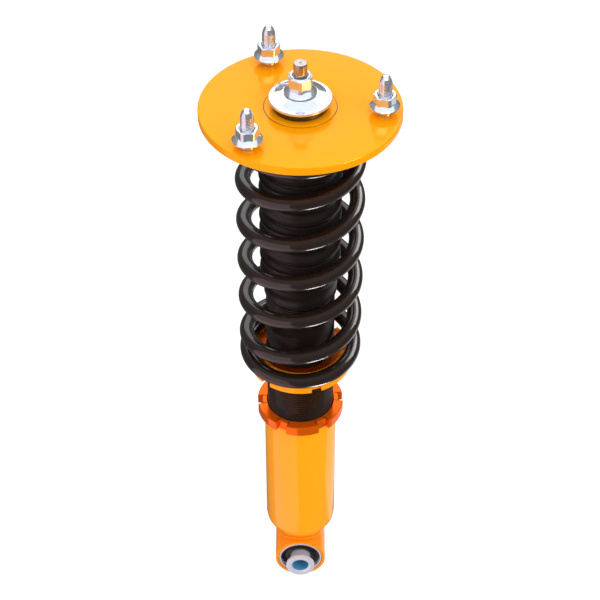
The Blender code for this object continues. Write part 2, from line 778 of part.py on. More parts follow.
def lay_on_eye(piece):
    """Turn a piece made about Z so that its axis is the eye's."""
    piece.rotation_euler = (math.pi / 2.0, 0.0, 0.0)
    piece.location = (0.0, 0.0, EYE_Z)


def build_eye_bush(parts, steel, rubber, plated):
    """Bright outer ring, rubber and flanged inner sleeve, all along Y."""
    outer = ring(
        "bush_outer_ring", OUTER_RING_RADIUS, OUTER_RING_BORE_RADIUS, -OUTER_RING_HALF_LENGTH,
        OUTER_RING_HALF_LENGTH, steel, parts, ROUND,
    )
    rubber_ring = ring(
        "bush_rubber", RUBBER_RADIUS, RUBBER_BORE_RADIUS, -RUBBER_HALF_LENGTH, RUBBER_HALF_LENGTH,
        rubber, parts, ROUND,
    )
    end = SLEEVE_HALF_LENGTH
    step = end - SLEEVE_FLANGE_THICKNESS
    outline = [
        (SLEEVE_BORE_RADIUS, end),
        (SLEEVE_FLANGE_RADIUS, end),
        (SLEEVE_FLANGE_RADIUS, step),
        (SLEEVE_RADIUS, step),
        (SLEEVE_RADIUS, -step),
        (SLEEVE_FLANGE_RADIUS, -step),
        (SLEEVE_FLANGE_RADIUS, -end),
        (SLEEVE_BORE_RADIUS, -end),
    ]
    sleeve = turned("eye_sleeve", outline, plated, parts, 32)
    for piece in (outer, rubber_ring, sleeve):
        lay_on_eye(piece)


def main():
    """Build the whole damper."""
    clear_scene()
    parts = new_collection("coilover")
    tools = new_collection("tools")
    orange = material("orange_anodised_aluminium", ORANGE, 0.18, 0.9)
    deep_orange = material("deep_orange_anodised_aluminium", DEEP_ORANGE, 0.22, 0.9)
    zinc = material("bright_zinc_plated_steel", ZINC, 0.12, 1.0)
    steel = material("ground_steel", STEEL, 0.2, 1.0)
    black_coat = material("black_powder_coat", BLACK_COAT, 0.2, 0.0)
    black_body = material("black_anodised_aluminium", BLACK_BODY, 0.35, 0.6)
    rubber = material("black_rubber", RUBBER, 0.6, 0.0)
    foam = material("microcellular_foam", FOAM, 0.9, 0.0)
    polymer = material("bearing_polymer", POLYMER, 0.5, 0.0)
    build_top_plate(parts, tools, orange)
    build_centre_insert(parts, orange)
    build_studs(parts, zinc)
    build_stud_nuts(parts, tools, zinc)
    build_upper_spring_seat(parts, black_body)
    build_rod_mount(parts, tools, zinc, rubber)
    build_piston_rod(parts, steel)
    build_bump_stop(parts, foam)
    build_piston(parts, tools, steel, polymer)
    build_damper_body(parts, tools, black_body, steel, polymer, rubber)
    build_floating_piston(parts, steel, rubber)
    build_dust_boot(parts, rubber)
    build_coil_spring(parts, black_coat)
    build_spring_perch(parts, tools, deep_orange)
    build_lock_ring(parts, tools, deep_orange)
    build_bracket_tube(parts, orange)
    build_eye_barrel(parts, tools, orange)
    build_eye_bush(parts, steel, rubber, zinc)


main()
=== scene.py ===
"""Studio model of an adjustable coil-over damper.

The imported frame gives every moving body.  Each class below makes the fine surface of one
sub-assembly, in metres, in the frame's own axes: +Z up the damper, origin on the top plate's face.
"""

import json
import logging
import math
from dataclasses import dataclass
from enum import Enum
from typing import Any, Callable, Optional, Sequence, Union

import bmesh
import bpy
from mathutils import Matrix, Vector

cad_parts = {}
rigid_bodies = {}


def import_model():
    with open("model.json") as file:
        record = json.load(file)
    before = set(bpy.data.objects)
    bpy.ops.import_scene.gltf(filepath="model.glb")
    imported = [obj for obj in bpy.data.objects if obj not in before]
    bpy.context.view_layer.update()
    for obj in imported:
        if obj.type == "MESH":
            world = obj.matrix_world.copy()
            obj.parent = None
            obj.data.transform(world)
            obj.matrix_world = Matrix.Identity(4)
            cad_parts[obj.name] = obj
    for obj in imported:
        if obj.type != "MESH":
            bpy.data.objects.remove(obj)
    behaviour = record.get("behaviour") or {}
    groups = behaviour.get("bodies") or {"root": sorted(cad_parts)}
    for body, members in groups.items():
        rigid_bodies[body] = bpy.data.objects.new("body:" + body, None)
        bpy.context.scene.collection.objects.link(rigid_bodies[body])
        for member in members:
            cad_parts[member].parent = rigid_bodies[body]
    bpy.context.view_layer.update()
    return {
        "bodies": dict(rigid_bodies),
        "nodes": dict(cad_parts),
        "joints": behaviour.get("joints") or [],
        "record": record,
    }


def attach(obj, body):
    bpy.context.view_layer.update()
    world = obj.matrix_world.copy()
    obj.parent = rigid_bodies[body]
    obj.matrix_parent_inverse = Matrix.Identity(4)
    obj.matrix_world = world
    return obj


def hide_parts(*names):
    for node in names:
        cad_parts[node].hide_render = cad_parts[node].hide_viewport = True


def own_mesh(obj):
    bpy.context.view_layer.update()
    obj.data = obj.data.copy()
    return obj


LOG = logging.getLogger("coilover")
TAU = 2.0 * math.pi
MM_PER_M = 1000.0
# Points closer than this are one point.
MERGE = 0.000002
# An edge that turns more than this stays sharp.
SHARP_DEGREES = 35.0
# Phase that a wave texture runs through in one unit of its scale.
WAVE_RADIANS = 20.0
# Radius of every bore that runs over the threaded body.
BODY_CLEARANCE = 0.0268
# Height of the eye's bolt.
EYE_Z = -0.4670

Profile = Sequence[tuple[float, float, float]]


class Body(Enum):
    """Bodies of the frame that the pieces ride on."""

    TOP_MOUNT = "top_mount"
    ROD = "rod"
    DAMPER = "damper_body"
    SPRING = "spring_stack"
    PERCH = "perch"
    BRACKET = "bracket"
    LOCK_RING = "lock_ring"
    EYE_SLEEVE = "eye_bolt_sleeve"


class Axis(Enum):
    """Axis that a turned piece is made about."""

    UP = "Z"
    BOLT = "Y"


# ---------------------------------------------------------------- node and colour helpers
def linear(code: str) -> tuple[float, float, float, float]:
    """Turn an sRGB hex colour into linear RGBA.

    Args:
        code: six hex digits with a leading hash.

    Returns:
        Linear red, green, blue and an alpha of one.
    """
    channels = [int(code[i:i + 2], 16) / 255.0 for i in (1, 3, 5)]
    curve = [c / 12.92 if c <= 0.04045 else ((c + 0.055) / 1.055) ** 2.4 for c in channels]
    return (curve[0], curve[1], curve[2], 1.0)


def add_node(
    tree: bpy.types.NodeTree,
    kind: str,
    settings: Optional[dict[str, Any]] = None,
    inputs: Optional[dict[Union[str, int], Any]] = None,
) -> bpy.types.Node:
    """Add one node with its settings, values and links.

    Args:
        tree: shader or geometry tree.
        kind: the node's type name.
        settings: attributes of the node.
        inputs: socket name or number, to a value or to the output that feeds it.

    Returns:
        The new node.
    """
    node = tree.nodes.new(kind)
    for name, value in (settings or {}).items():
        setattr(node, name, value)
    for key, value in (inputs or {}).items():
        if isinstance(value, bpy.types.NodeSocket):
            tree.links.new(value, node.inputs[key])
        else:
            node.inputs[key].default_value = value
    return node


# ---------------------------------------------------------------- finishes
@dataclass(frozen=True)
class Finish:
    """A surface finish: one Principled shader with a fine pattern in its colour, gloss and relief.

    Attributes:
        name: what the material is and how it was made.
        colour: its usual colour.
        tint: the colour it drifts to.
        metallic: share of metal.
        roughness: mean roughness.
        spread: how far the roughness drifts.
        grain_mm: size of the drift in colour and gloss.
        relief_mm: size of the fine relief.
        relief_height_mm: height of the fine relief.
        coat: weight of the clear layer.
        coat_roughness: its roughness.
        lathe_mm: spacing of turned lines, or 0.
        lathe_height_mm: height of turned lines.
        axis: axis that the lines were turned about.
        centre_z: height of a crosswise axis.
        specular: reflectance level of a non-metal.
    """

    name: str
    colour: str
    tint: str
    metallic: float
    roughness: float
    spread: float = 0.04
    grain_mm: float = 9.0
    relief_mm: float = 0.8
    relief_height_mm: float = 0.004
    coat: float = 0.0
    coat_roughness: float = 0.05
    lathe_mm: float = 0.0
    lathe_height_mm: float = 0.003
    axis: Axis = Axis.UP
    centre_z: float = 0.0
    specular: float = 0.5

    def build(self) -> bpy.types.Material:
        """Make the material.

        Returns:
            The new material.
        """
        material = bpy.data.materials.new(self.name)
        material.use_nodes = True
        tree = material.node_tree
        shader = tree.nodes["Principled BSDF"]
        shader.inputs["Metallic"].default_value = self.metallic
        shader.inputs["Coat Weight"].default_value = self.coat
        shader.inputs["Coat Roughness"].default_value = self.coat_roughness
        shader.inputs["Specular IOR Level"].default_value = self.specular
        coordinates = add_node(tree, "ShaderNodeTexCoord")
        place = add_node(
            tree, "ShaderNodeMapping", None,
            {"Vector": coordinates.outputs["Object"], "Location": (0.0, 0.0, -self.centre_z)},
        )
        point = place.outputs["Vector"]
        drift = add_node(
            tree, "ShaderNodeTexNoise", None,
            {"Vector": point, "Scale": MM_PER_M / self.grain_mm, "Detail": 3.0, "Roughness": 0.55},
        )
        colour = add_node(
            tree, "ShaderNodeMix", {"data_type": "RGBA"},
            {0: drift.outputs["Fac"], 6: linear(self.colour), 7: linear(self.tint)},
        )
        gloss = add_node(
            tree, "ShaderNodeMapRange", None,
            {
                "Value": drift.outputs["Fac"], "From Min": 0.3, "From Max": 0.7,
                "To Min": self.roughness - self.spread, "To Max": self.roughness + self.spread,
            },
        )
        tree.links.new(colour.outputs[2], shader.inputs["Base Color"])
        tree.links.new(gloss.outputs["Result"], shader.inputs["Roughness"])
        relief = add_node(
            tree, "ShaderNodeTexNoise", None,
            {"Vector": point, "Scale": MM_PER_M / self.relief_mm, "Detail": 2.0},
        )
        bump = add_node(
            tree, "ShaderNodeBump", None,
            {
                "Strength": 1.0, "Distance": self.relief_height_mm / MM_PER_M,
                "Height": relief.outputs["Fac"],
            },
        )
        normal = bump.outputs["Normal"]
        if self.lathe_mm > 0.0:
            normal = self.turned_lines(tree, point, normal)
        tree.links.new(normal, shader.inputs["Normal"])
        return material

    def turned_lines(
        self, tree: bpy.types.NodeTree, point: bpy.types.NodeSocket, normal: bpy.types.NodeSocket,
    ) -> bpy.types.NodeSocket:
        """Lay fine tool lines round the turning axis, on faces and on sides alike.

        Args:
            tree: the material's tree.
            point: coordinates centred on the axis.
            normal: relief that the lines are laid on.

        Returns:
            The relief with the lines.
        """
        scale = TAU / (WAVE_RADIANS * self.lathe_mm / MM_PER_M)
        rings, bands = (
            add_node(
                tree, "ShaderNodeTexWave", {"wave_type": kind, direction: self.axis.value},
                {"Vector": point, "Scale": scale, "Distortion": 0.0, "Detail": 0.0},
            )
            for kind, direction in (("RINGS", "rings_direction"), ("BANDS", "bands_direction"))
        )
        height = add_node(
            tree, "ShaderNodeMath", {"operation": "ADD"},
            {0: rings.outputs["Fac"], 1: bands.outputs["Fac"]},
        )
        bump = add_node(
            tree, "ShaderNodeBump", None,
            {
                "Strength": 1.0, "Distance": self.lathe_height_mm / MM_PER_M,
                "Height": height.outputs["Value"], "Normal": normal,
            },
        )
        return bump.outputs["Normal"]


class Finishes:
    """All finishes of the damper, built once."""

    def __init__(self) -> None:
        """Build every material."""
        # Turned aluminium, bright dipped and dyed gold-orange: a deep even colour under a glassy skin.
        self.plate = Finish(
            "gold_orange_anodised_aluminium", "#FF9E06", "#FFA40A", 0.22, 0.16,
            spread=0.015, grain_mm=30.0, relief_mm=2.0, relief_height_mm=0.0006, coat=0.08,
            coat_roughness=0.02, lathe_mm=0.7, lathe_height_mm=0.0002, specular=0.1,
        ).build()
        # The same dye on the drawn tube: more colour than metal to the eye, under a silky skin.
        self.tube = Finish(
            "orange_anodised_drawn_tube", "#FF9C08", "#FFA20C", 0.06, 0.2,
            spread=0.015, grain_mm=26.0, relief_mm=2.0, relief_height_mm=0.0006, coat=0.5,
            coat_roughness=0.03, lathe_mm=0.9, lathe_height_mm=0.0002, specular=0.1,
        ).build()
        # Milled rings took the dye darker: red-orange, with the cutter's fine circles left on them.
        self.ring = Finish(
            "red_orange_anodised_milled_ring", "#FF7004", "#FF6802", 0.6, 0.16,
            spread=0.02, grain_mm=14.0, relief_mm=1.6, relief_height_mm=0.001, coat=0.05,
            coat_roughness=0.05, specular=0.2, lathe_mm=0.6, lathe_height_mm=0.0005,
        ).build()
        # The perch, in the lock ring's dyed aluminium, drawn brighter and yellower than the lock ring:
        # painted light for the strong light on its rim and front.
        self.perch = Finish(
            "perch_orange_with_painted_light", "#FFA008", "#FF9806", 0.2, 0.18,
            spread=0.02, grain_mm=14.0, relief_mm=1.6, relief_height_mm=0.001, coat=0.1,
            coat_roughness=0.05, specular=0.2, lathe_mm=0.6, lathe_height_mm=0.0005,
        ).build()
        # Upper inner faces of the perch, drawn deep red and hardly glossy: painted shade for the
        # spring's shade over them.
        self.perch_shade = Finish(
            "deep_red_painted_shade_perch_top", "#C04A0A", "#A83C06", 0.7, 0.25,
            specular=0.2, spread=0.03, grain_mm=10.0, relief_mm=1.6, relief_height_mm=0.001,
        ).build()
        # Welded eye, dyed with the tube: a little rougher from its machining.
        self.eye = Finish(
            "orange_anodised_welded_eye", "#FF920A", "#FF8A06", 0.08, 0.2,
            spread=0.02, grain_mm=10.0, relief_mm=1.4, relief_height_mm=0.001, coat=0.35,
            coat_roughness=0.05, specular=0.1, lathe_mm=0.7, lathe_height_mm=0.0005,
            axis=Axis.BOLT, centre_z=EYE_Z,
        ).build()
        # Bright zinc on formed steel: nearly mirror white, faintly blue from its passivation, with
        # tiny ripples.
        self.zinc = Finish(
            "bright_zinc_on_formed_steel", "#F4F5F8", "#E2E8F2", 0.88, 0.1,
            spread=0.02, grain_mm=4.0, relief_mm=1.4, relief_height_mm=0.0025,
        ).build()
        # Ground and hard-chromed bar: a cooler grey with the lathe's lines on its end.
        self.rod = Finish(
            "ground_chromed_bar", "#D4CCC8", "#B4AEAE", 1.0, 0.22,
            spread=0.05, grain_mm=3.0, relief_mm=0.5, relief_height_mm=0.001, lathe_mm=0.6,
            lathe_height_mm=0.003,
        ).build()
        # Pressed inner sleeve, zinc plated and tumbled: satin, so it scatters more than it mirrors.
        self.sleeve = Finish(
            "satin_zinc_plated_sleeve", "#E0E3EF", "#D6DAE6", 0.45, 0.34,
            spread=0.02, grain_mm=5.0, relief_mm=1.6, relief_height_mm=0.0005, lathe_mm=0.8,
            lathe_height_mm=0.001, axis=Axis.BOLT, centre_z=EYE_Z,
        ).build()
        # Faces inside the sleeve's bore: a steely teal.
        self.bore = Finish(
            "steely_teal_sleeve_bore", "#5AA6D2", "#6CB2D8", 0.3, 0.42,
            spread=0.05, grain_mm=3.0, relief_mm=0.8, relief_height_mm=0.002, axis=Axis.BOLT,
            centre_z=EYE_Z,
        ).build()
        # Gloss powder coat on shot-peened spring wire: brown-black, glassy, with a soft orange peel.
        self.powder = Finish(
            "gloss_black_powder_coat", "#20140F", "#251813", 0.0, 0.3,
            spread=0.04, grain_mm=14.0, relief_mm=7.0, relief_height_mm=0.003, coat=1.0,
            coat_roughness=0.02, specular=0.15,
        ).build()
        # Black-oxided steel thread with a film of oil: dark brown-black, glossy on every flank.
        self.thread = Finish(
            "oiled_black_oxide_thread", "#1C130E", "#241811", 0.0, 0.16,
            spread=0.03, grain_mm=9.0, relief_mm=1.0, relief_height_mm=0.0005, specular=0.6,
        ).build()
        # Blow-moulded thermoplastic rubber: black with a waxy sheen.  The seat above it looks the same.
        self.boot = Finish(
            "moulded_black_boot_rubber", "#19110D", "#1E1511", 0.0, 0.36,
            spread=0.03, grain_mm=12.0, relief_mm=3.0, relief_height_mm=0.001, specular=0.35,
        ).build()
        # Compression-moulded natural rubber: matt, faintly dusty.
        self.rubber = Finish(
            "vulcanised_black_rubber", "#1E1713", "#261D18", 0.0, 0.34,
            spread=0.05, grain_mm=2.5, relief_mm=0.5, relief_height_mm=0.003, specular=0.8,
        ).build()
        # Microcellular polyurethane: pale straw, matt, with its open cells drawn coarse enough to show.
        self.foam = Finish(
            "microcellular_polyurethane_foam", "#D8CFA8", "#B9AE84", 0.0, 0.9,
            spread=0.05, grain_mm=5.0, relief_mm=0.9, relief_height_mm=0.15, specular=0.2,
        ).build()
        # Filled bearing polymer: dark green, machined.
        self.polymer = Finish(
            "bronze_filled_bearing_polymer", "#3C5A50", "#5A6A4A", 0.1, 0.45,
            spread=0.08, grain_mm=2.0, relief_mm=0.4, relief_height_mm=0.006, lathe_mm=0.4,
        ).build()


# ---------------------------------------------------------------- mesh helpers
def new_object(name: str, data: bpy.types.ID) -> bpy.types.Object:
    """Make an object at the origin and put it into the scene.

    Args:
        name: the object's name.
        data: its mesh, light or camera.

    Returns:
        The new object.
    """
    result = bpy.data.objects.new(name, data)
    bpy.context.scene.collection.objects.link(result)
    return result


def softened(points: Profile, closed: bool, steps: int = 4) -> list[tuple[float, float]]:
    """Round the corners of a profile.

    Args:
        points: radius, height and corner radius of each point.
        closed: whether the last point joins the first.
        steps: pieces of each rounded corner.

    Returns:
        The points of the rounded profile.
    """
    result: list[tuple[float, float]] = []
    count = len(points)
    # Just under half of a side, so that the roundings at its two ends never meet.
    most = 0.49
    for index, (r, z, corner) in enumerate(points):
        at_end = not closed and index in (0, count - 1)
        if corner <= 0.0 or at_end:
            result.append((r, z))
            continue
        here = Vector((r, z))
        back = Vector(points[index - 1][:2]) - here
        ahead = Vector(points[(index + 1) % count][:2]) - here
        half = back.angle(ahead) / 2.0
        reach = min(corner / math.tan(half), back.length * most, ahead.length * most)
        start = here + back.normalized() * reach
        end = here + ahead.normalized() * reach
        for step in range(steps + 1):
            t = step / steps
            spot = start * (1.0 - t) ** 2 + here * (2.0 * t * (1.0 - t)) + end * t ** 2
            result.append((spot.x, spot.y))
    return result


class Shell:
    """A closed surface put together from turned, lofted and threaded stretches."""

    def __init__(self, segments: int) -> None:
        """Start an empty surface.

        Args:
            segments: points round each ring.
        """
        self.segments = segments
        self.mesh = bmesh.new()

    def ring(self, radius: float, z: float) -> list[bmesh.types.BMVert]:
        """Add one circle of points.

        Args:
            radius: its radius.
            z: its height.

        Returns:
            Its points, in order.
        """
        step = TAU / self.segments
        turns = [step * i for i in range(self.segments)]
        return [self.mesh.verts.new((radius * math.cos(a), radius * math.sin(a), z)) for a in turns]

    def bridge(self, first: list[bmesh.types.BMVert], second: list[bmesh.types.BMVert]) -> None:
        """Join two rings of the same length with faces.

        Args:
            first: one ring.
            second: the other ring.
        """
        count = len(first)
        for i in range(count):
            j = (i + 1) % count
            self.mesh.faces.new((first[i], first[j], second[j], second[i]))

    def cap(self, ring: list[bmesh.types.BMVert], z: float) -> None:
        """Close a ring with a fan to a point on the axis.

        Args:
            ring: points of the ring.
            z: height of the point.
        """
        pole = self.mesh.verts.new((0.0, 0.0, z))
        for i in range(len(ring)):
            self.mesh.faces.new((ring[i], ring[(i + 1) % len(ring)], pole))

    def turn(self, points: Sequence[tuple[float, float]], closed: bool) -> None:
        """Turn a profile about the axis.

        Args:
            points: radius and height of each point; a first or last radius of 0 closes on the axis.
            closed: whether the last point joins the first.
        """
        inner = [p for p in points if p[0] > 0.0]
        rings = [self.ring(r, z) for r, z in inner]
        for first, second in zip(rings, rings[1:]):
            self.bridge(first, second)
        if closed:
            self.bridge(rings[-1], rings[0])
        if points[0][0] == 0.0:
            self.cap(rings[0], points[0][1])
        if points[-1][0] == 0.0:
            self.cap(rings[-1], points[-1][1])

    def turn_open(self, points: Profile) -> None:
        """Turn an open profile about the axis, with its corners rounded."""
        self.turn(softened(points, False), False)

    def loft(self, outlines: Sequence[Sequence[Vector]]) -> None:
        """Join outlines in a closed loop, the last to the first.

        Args:
            outlines: rings of the same length.
        """
        rings = [[self.mesh.verts.new(p) for p in outline] for outline in outlines]
        for first, second in zip(rings, rings[1:]):
            self.bridge(first, second)
        self.bridge(rings[-1], rings[0])

    def thread(self, crest: float, root: float, pitch: float, low: float, high: float) -> None:
        """Add a right-hand thread whose rows follow the helix, run out to the root at both ends.

        Args:
            crest: radius of the crests.
            root: radius of the roots.
            pitch: height of one turn.
            low: lower end.
            high: upper end.
        """
        # One tooth from its root upwards: share of the pitch, and radius.
        form = ((0.0, root), (0.14, root), (0.48, crest), (0.66, crest))
        # Rows start below the lower end and stop above the upper one, and are held to both.
        lead, spare = 1.5, 3
        turns = int(math.ceil((high - low) / pitch)) + spare
        rows: list[list[bmesh.types.BMVert]] = []
        for row in range(turns * len(form)):
            share, radius = form[row % len(form)]
            base = low + (row // len(form) - lead + share) * pitch
            line: list[bmesh.types.BMVert] = []
            for i in range(self.segments):
                z = base + pitch * i / self.segments
                inside = min(max(z, low), high)
                fade = min(1.0, max(0.0, (inside - low) / pitch), max(0.0, (high - inside) / pitch))
                r = root + (radius - root) * fade
                angle = TAU * i / self.segments
                spot = (r * math.cos(angle), r * math.sin(angle), inside)
                line.append(self.mesh.verts.new(spot))
            rows.append(line)
        for row, (here, above) in enumerate(zip(rows, rows[1:])):
            for i in range(self.segments):
                if i + 1 < self.segments:
                    corners = (here[i], here[i + 1], above[i + 1], above[i])
                elif row + 1 + len(form) < len(rows):
                    # The last points of a row meet the first ones of the row a pitch higher.
                    wrap = row + len(form)
                    corners = (here[i], rows[wrap][0], rows[wrap + 1][0], above[i])
                else:
                    continue
                self.mesh.faces.new(corners)

    def finish(
        self, name: str, material: bpy.types.Material, move: Optional[Matrix] = None,
        sharp: float = SHARP_DEGREES,
    ) -> bpy.types.Object:
        """Merge, orient and shade the surface, and make its object.

        Args:
            name: the piece's name.
            material: its finish.
            move: placement applied to its points.
            sharp: angle in degrees above which an edge stays sharp.

        Returns:
            The new object, at the origin.
        """
        bmesh.ops.remove_doubles(self.mesh, verts=self.mesh.verts, dist=MERGE)
        bmesh.ops.dissolve_degenerate(self.mesh, edges=self.mesh.edges, dist=MERGE)
        if move is not None:
            bmesh.ops.transform(self.mesh, verts=self.mesh.verts, matrix=move)
        bmesh.ops.recalc_face_normals(self.mesh, faces=self.mesh.faces)
        data = bpy.data.meshes.new(name)
        self.mesh.to_mesh(data)
        self.mesh.free()
        data.materials.append(material)
        data.shade_smooth()
        data.set_sharp_from_angle(angle=math.radians(sharp))
        return new_object(name, data)


def turned(
    name: str, points: Profile, material: bpy.types.Material, segments: int = 160,
    move: Optional[Matrix] = None,
) -> bpy.types.Object:
    """Make a turned piece from a profile with rounded corners.

    Args:
        name: the piece's name.
        points: radius, height and corner radius of each point.
        material: its finish.
        segments: points round each ring.
        move: placement applied to its points.

    Returns:
        The new object.
    """
    closed = points[0][0] > 0.0
    shell = Shell(segments)
    shell.turn(softened(points, closed), closed)
    return shell.finish(name, material, move)


def applied(piece: bpy.types.Object) -> bpy.types.Object:
    """Turn a piece with live modifiers into a plain mesh piece of the same name.

    Args:
        piece: object with modifiers.

    Returns:
        The plain object; the first one is removed.
    """
    bpy.context.view_layer.update()
    graph = bpy.context.evaluated_depsgraph_get()
    data = bpy.data.meshes.new_from_object(piece.evaluated_get(graph))
    name = piece.name
    bpy.data.objects.remove(piece, do_unlink=True)
    data.name = name
    return new_object(name, data)


def path_object(name: str, points: Sequence[Vector], closed: bool) -> bpy.types.Object:
    """Make a bare line of edges that a geometry tree can follow.

    Args:
        name: the object's name.
        points: points along the path.
        closed: whether the last point joins the first.

    Returns:
        The new object.
    """
    edges = [(i, i + 1) for i in range(len(points) - 1)]
    if closed:
        edges.append((len(points) - 1, 0))
    data = bpy.data.meshes.new(name)
    data.from_pydata(points, edges, [])
    return new_object(name, data)


class GeometryTree:
    """A geometry-node tree with named inputs, run on one object."""

    def __init__(self, name: str, sizes: dict[str, float]) -> None:
        """Make the tree and its inputs.

        Args:
            name: the tree's name.
            sizes: named sizes; a whole number makes an integer input.
        """
        self.sizes = sizes
        self.tree = bpy.data.node_groups.new(name, "GeometryNodeTree")
        interface = self.tree.interface
        interface.new_socket("Geometry", in_out="INPUT", socket_type="NodeSocketGeometry")
        self.sockets: dict[str, bpy.types.NodeTreeInterfaceSocket] = {}
        for key, value in sizes.items():
            kind = "NodeSocketInt" if isinstance(value, int) else "NodeSocketFloat"
            self.sockets[key] = interface.new_socket(key, in_out="INPUT", socket_type=kind)
        interface.new_socket("Geometry", in_out="OUTPUT", socket_type="NodeSocketGeometry")
        self.inputs = add_node(self.tree, "NodeGroupInput").outputs

    def close(self, geometry: bpy.types.NodeSocket, material: bpy.types.Material) -> None:
        """End the tree: realize the instances, shade them smooth and give them the finish.

        Args:
            geometry: output that holds the shape.
            material: its finish.
        """
        real = add_node(self.tree, "GeometryNodeRealizeInstances", None, {"Geometry": geometry})
        soft = add_node(self.tree, "GeometryNodeSetShadeSmooth", None, {"Geometry": real.outputs[0]})
        dressed = add_node(
            self.tree, "GeometryNodeSetMaterial", None,
            {"Geometry": soft.outputs[0], "Material": material},
        )
        add_node(self.tree, "NodeGroupOutput", None, {"Geometry": dressed.outputs[0]})

    def run(self, piece: bpy.types.Object) -> bpy.types.Object:
        """Run the tree on an object and return the plain result.

        Args:
            piece: the object; it is used up.

        Returns:
            The plain object.
        """
        modifier = piece.modifiers.new(self.tree.name, "NODES")
        modifier.node_group = self.tree
        for key, socket in self.sockets.items():
            modifier[socket.identifier] = self.sizes[key]
        return applied(piece)


def install(piece: bpy.types.Object, body: Body, slot: str, *nodes: str) -> None:
    """Seat a finished piece on its body and let it stand for its frame nodes.

    Args:
        piece: finished piece, at the origin.
        body: body that it rides on.
        slot: not used.
        nodes: frame nodes that it replaces.
    """
    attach(piece, body.value)
    if nodes:
        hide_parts(*nodes)
    LOG.info("%s rides on %s, %d faces", piece.name, body.value, len(piece.data.polygons))


def seat_turned(
    name: str, points: Profile, material: bpy.types.Material, segments: int, body: Body, slot: str,
    *nodes: str, move: Optional[Matrix] = None,
) -> None:
    """Make a turned piece and seat it on its body in one go.

    Args:
        name: the piece's name.
        points: radius, height and corner radius of each point.
        material: its finish.
        segments: points round each ring.
        body: body that it rides on.
        slot: the record's material slot.
        nodes: frame nodes that it replaces.
        move: placement applied to its points.
    """
    install(turned(name, points, material, segments, move), body, slot, *nodes)


# ---------------------------------------------------------------- sub-assemblies
@dataclass
class HexNut:
    """A hexagon nut with a coned flange and a chamfered or collared top.

    Attributes:
        low: height of the flange's underside.
        height: height of the hexagon's top above that.
        across_flats: width of the hexagon.
        flange_radius: radius of the flange.
        flange_edge: height of the flange's upright edge.
        flange_height: height where the cone meets the hexagon's flats.
        bore: radius of the hole.
        turn: turn about its own axis, in degrees.
        collar_radius: radius of a round collar on top, or 0.
        collar_height: its height.
        segments: points round each ring.
        corner: how far the hexagon's corners are rounded back.
        soft: size of the flange's broken edges.
        lead_in: size of the hole's lower chamfer.
        mouth: size of the hole's upper chamfer.
        chamfer_start: share of the flats' distance where the top's chamfer starts.
        chamfer_degrees: slope of that chamfer.
    """

    low: float
    height: float
    across_flats: float
    flange_radius: float
    flange_edge: float
    flange_height: float
    bore: float
    turn: float
    collar_radius: float = 0.0
    collar_height: float = 0.0
    segments: int = 96
    corner: float = 0.0005
    soft: float = 0.0003
    lead_in: float = 0.0006
    mouth: float = 0.0007
    chamfer_start: float = 0.97
    chamfer_degrees: float = 30.0

    def side(self, angle: float) -> float:
        """Distance from the axis to the hexagon's side, with its corners slightly rounded.

        Args:
            angle: direction from the axis, in radians.

        Returns:
            The distance.
        """
        sixth = math.pi / 3.0
        local = (angle + sixth / 2.0) % sixth - sixth / 2.0
        flat = self.across_flats / 2.0 / math.cos(local)
        limit = self.across_flats / 2.0 / math.cos(sixth / 2.0) - self.corner
        return min(flat, limit)

    def outline(
        self, radius: Callable[[float], float], height: Callable[[float], float],
    ) -> list[Vector]:
        """Points of one ring, from functions of the angle.

        Args:
            radius: radius at an angle.
            height: height at an angle.

        Returns:
            The points, in order.
        """
        points = []
        for i in range(self.segments):
            angle = TAU * i / self.segments
            r = radius(angle)
            points.append(Vector((r * math.cos(angle), r * math.sin(angle), height(angle))))
        return points

    def build(self, name: str, material: bpy.types.Material, centre: Vector) -> bpy.types.Object:
        """Make the nut.

        Args:
            name: the piece's name.
            material: its finish.
            centre: point on the plate that it stands over.

        Returns:
            The new object.
        """
        top = self.low + self.height
        waist = self.across_flats / 2.0
        slope = (self.flange_height - self.flange_edge) / (self.flange_radius - waist)
        edge = self.low + self.flange_edge
        shoulder = waist * self.chamfer_start
        fall = math.tan(math.radians(self.chamfer_degrees))
        soft = self.soft

        def level(z: float) -> Callable[[float], float]:
            return lambda angle: z

        def circle(r: float) -> Callable[[float], float]:
            return lambda angle: r

        def cone(angle: float) -> float:
            return edge + (self.flange_radius - self.side(angle)) * slope

        def chamfer(angle: float) -> float:
            return top - max(0.0, self.side(angle) - shoulder) * fall

        def shy(angle: float) -> float:
            return min(self.side(angle), shoulder)

        rings = [
            self.outline(circle(self.bore + self.lead_in), level(self.low)),
            self.outline(circle(self.flange_radius - soft), level(self.low)),
            self.outline(circle(self.flange_radius), level(self.low + soft)),
            self.outline(circle(self.flange_radius), level(edge - soft)),
            self.outline(circle(self.flange_radius - soft), level(edge + soft * 0.4)),
            self.outline(self.side, cone),
            self.outline(self.side, chamfer),
            self.outline(shy, level(top)),
        ]
        crown = top
        if self.collar_radius > 0.0:
            crown = top + self.collar_height
            rings.append(self.outline(circle(self.collar_radius), level(top)))
            rings.append(self.outline(circle(self.collar_radius), level(crown - soft * 2.0)))
            rings.append(self.outline(circle(self.collar_radius - soft * 2.0), level(crown)))
        rings.append(self.outline(circle(self.bore + self.mouth), level(crown)))
        rings.append(self.outline(circle(self.bore), level(crown - self.mouth)))
        rings.append(self.outline(circle(self.bore), level(self.low + self.lead_in)))
        shell = Shell(self.segments)
        shell.loft(rings)
        move = Matrix.Translation(centre) @ Matrix.Rotation(math.radians(self.turn), 4, "Z")
        return shell.finish(name, material, move, 28.0)


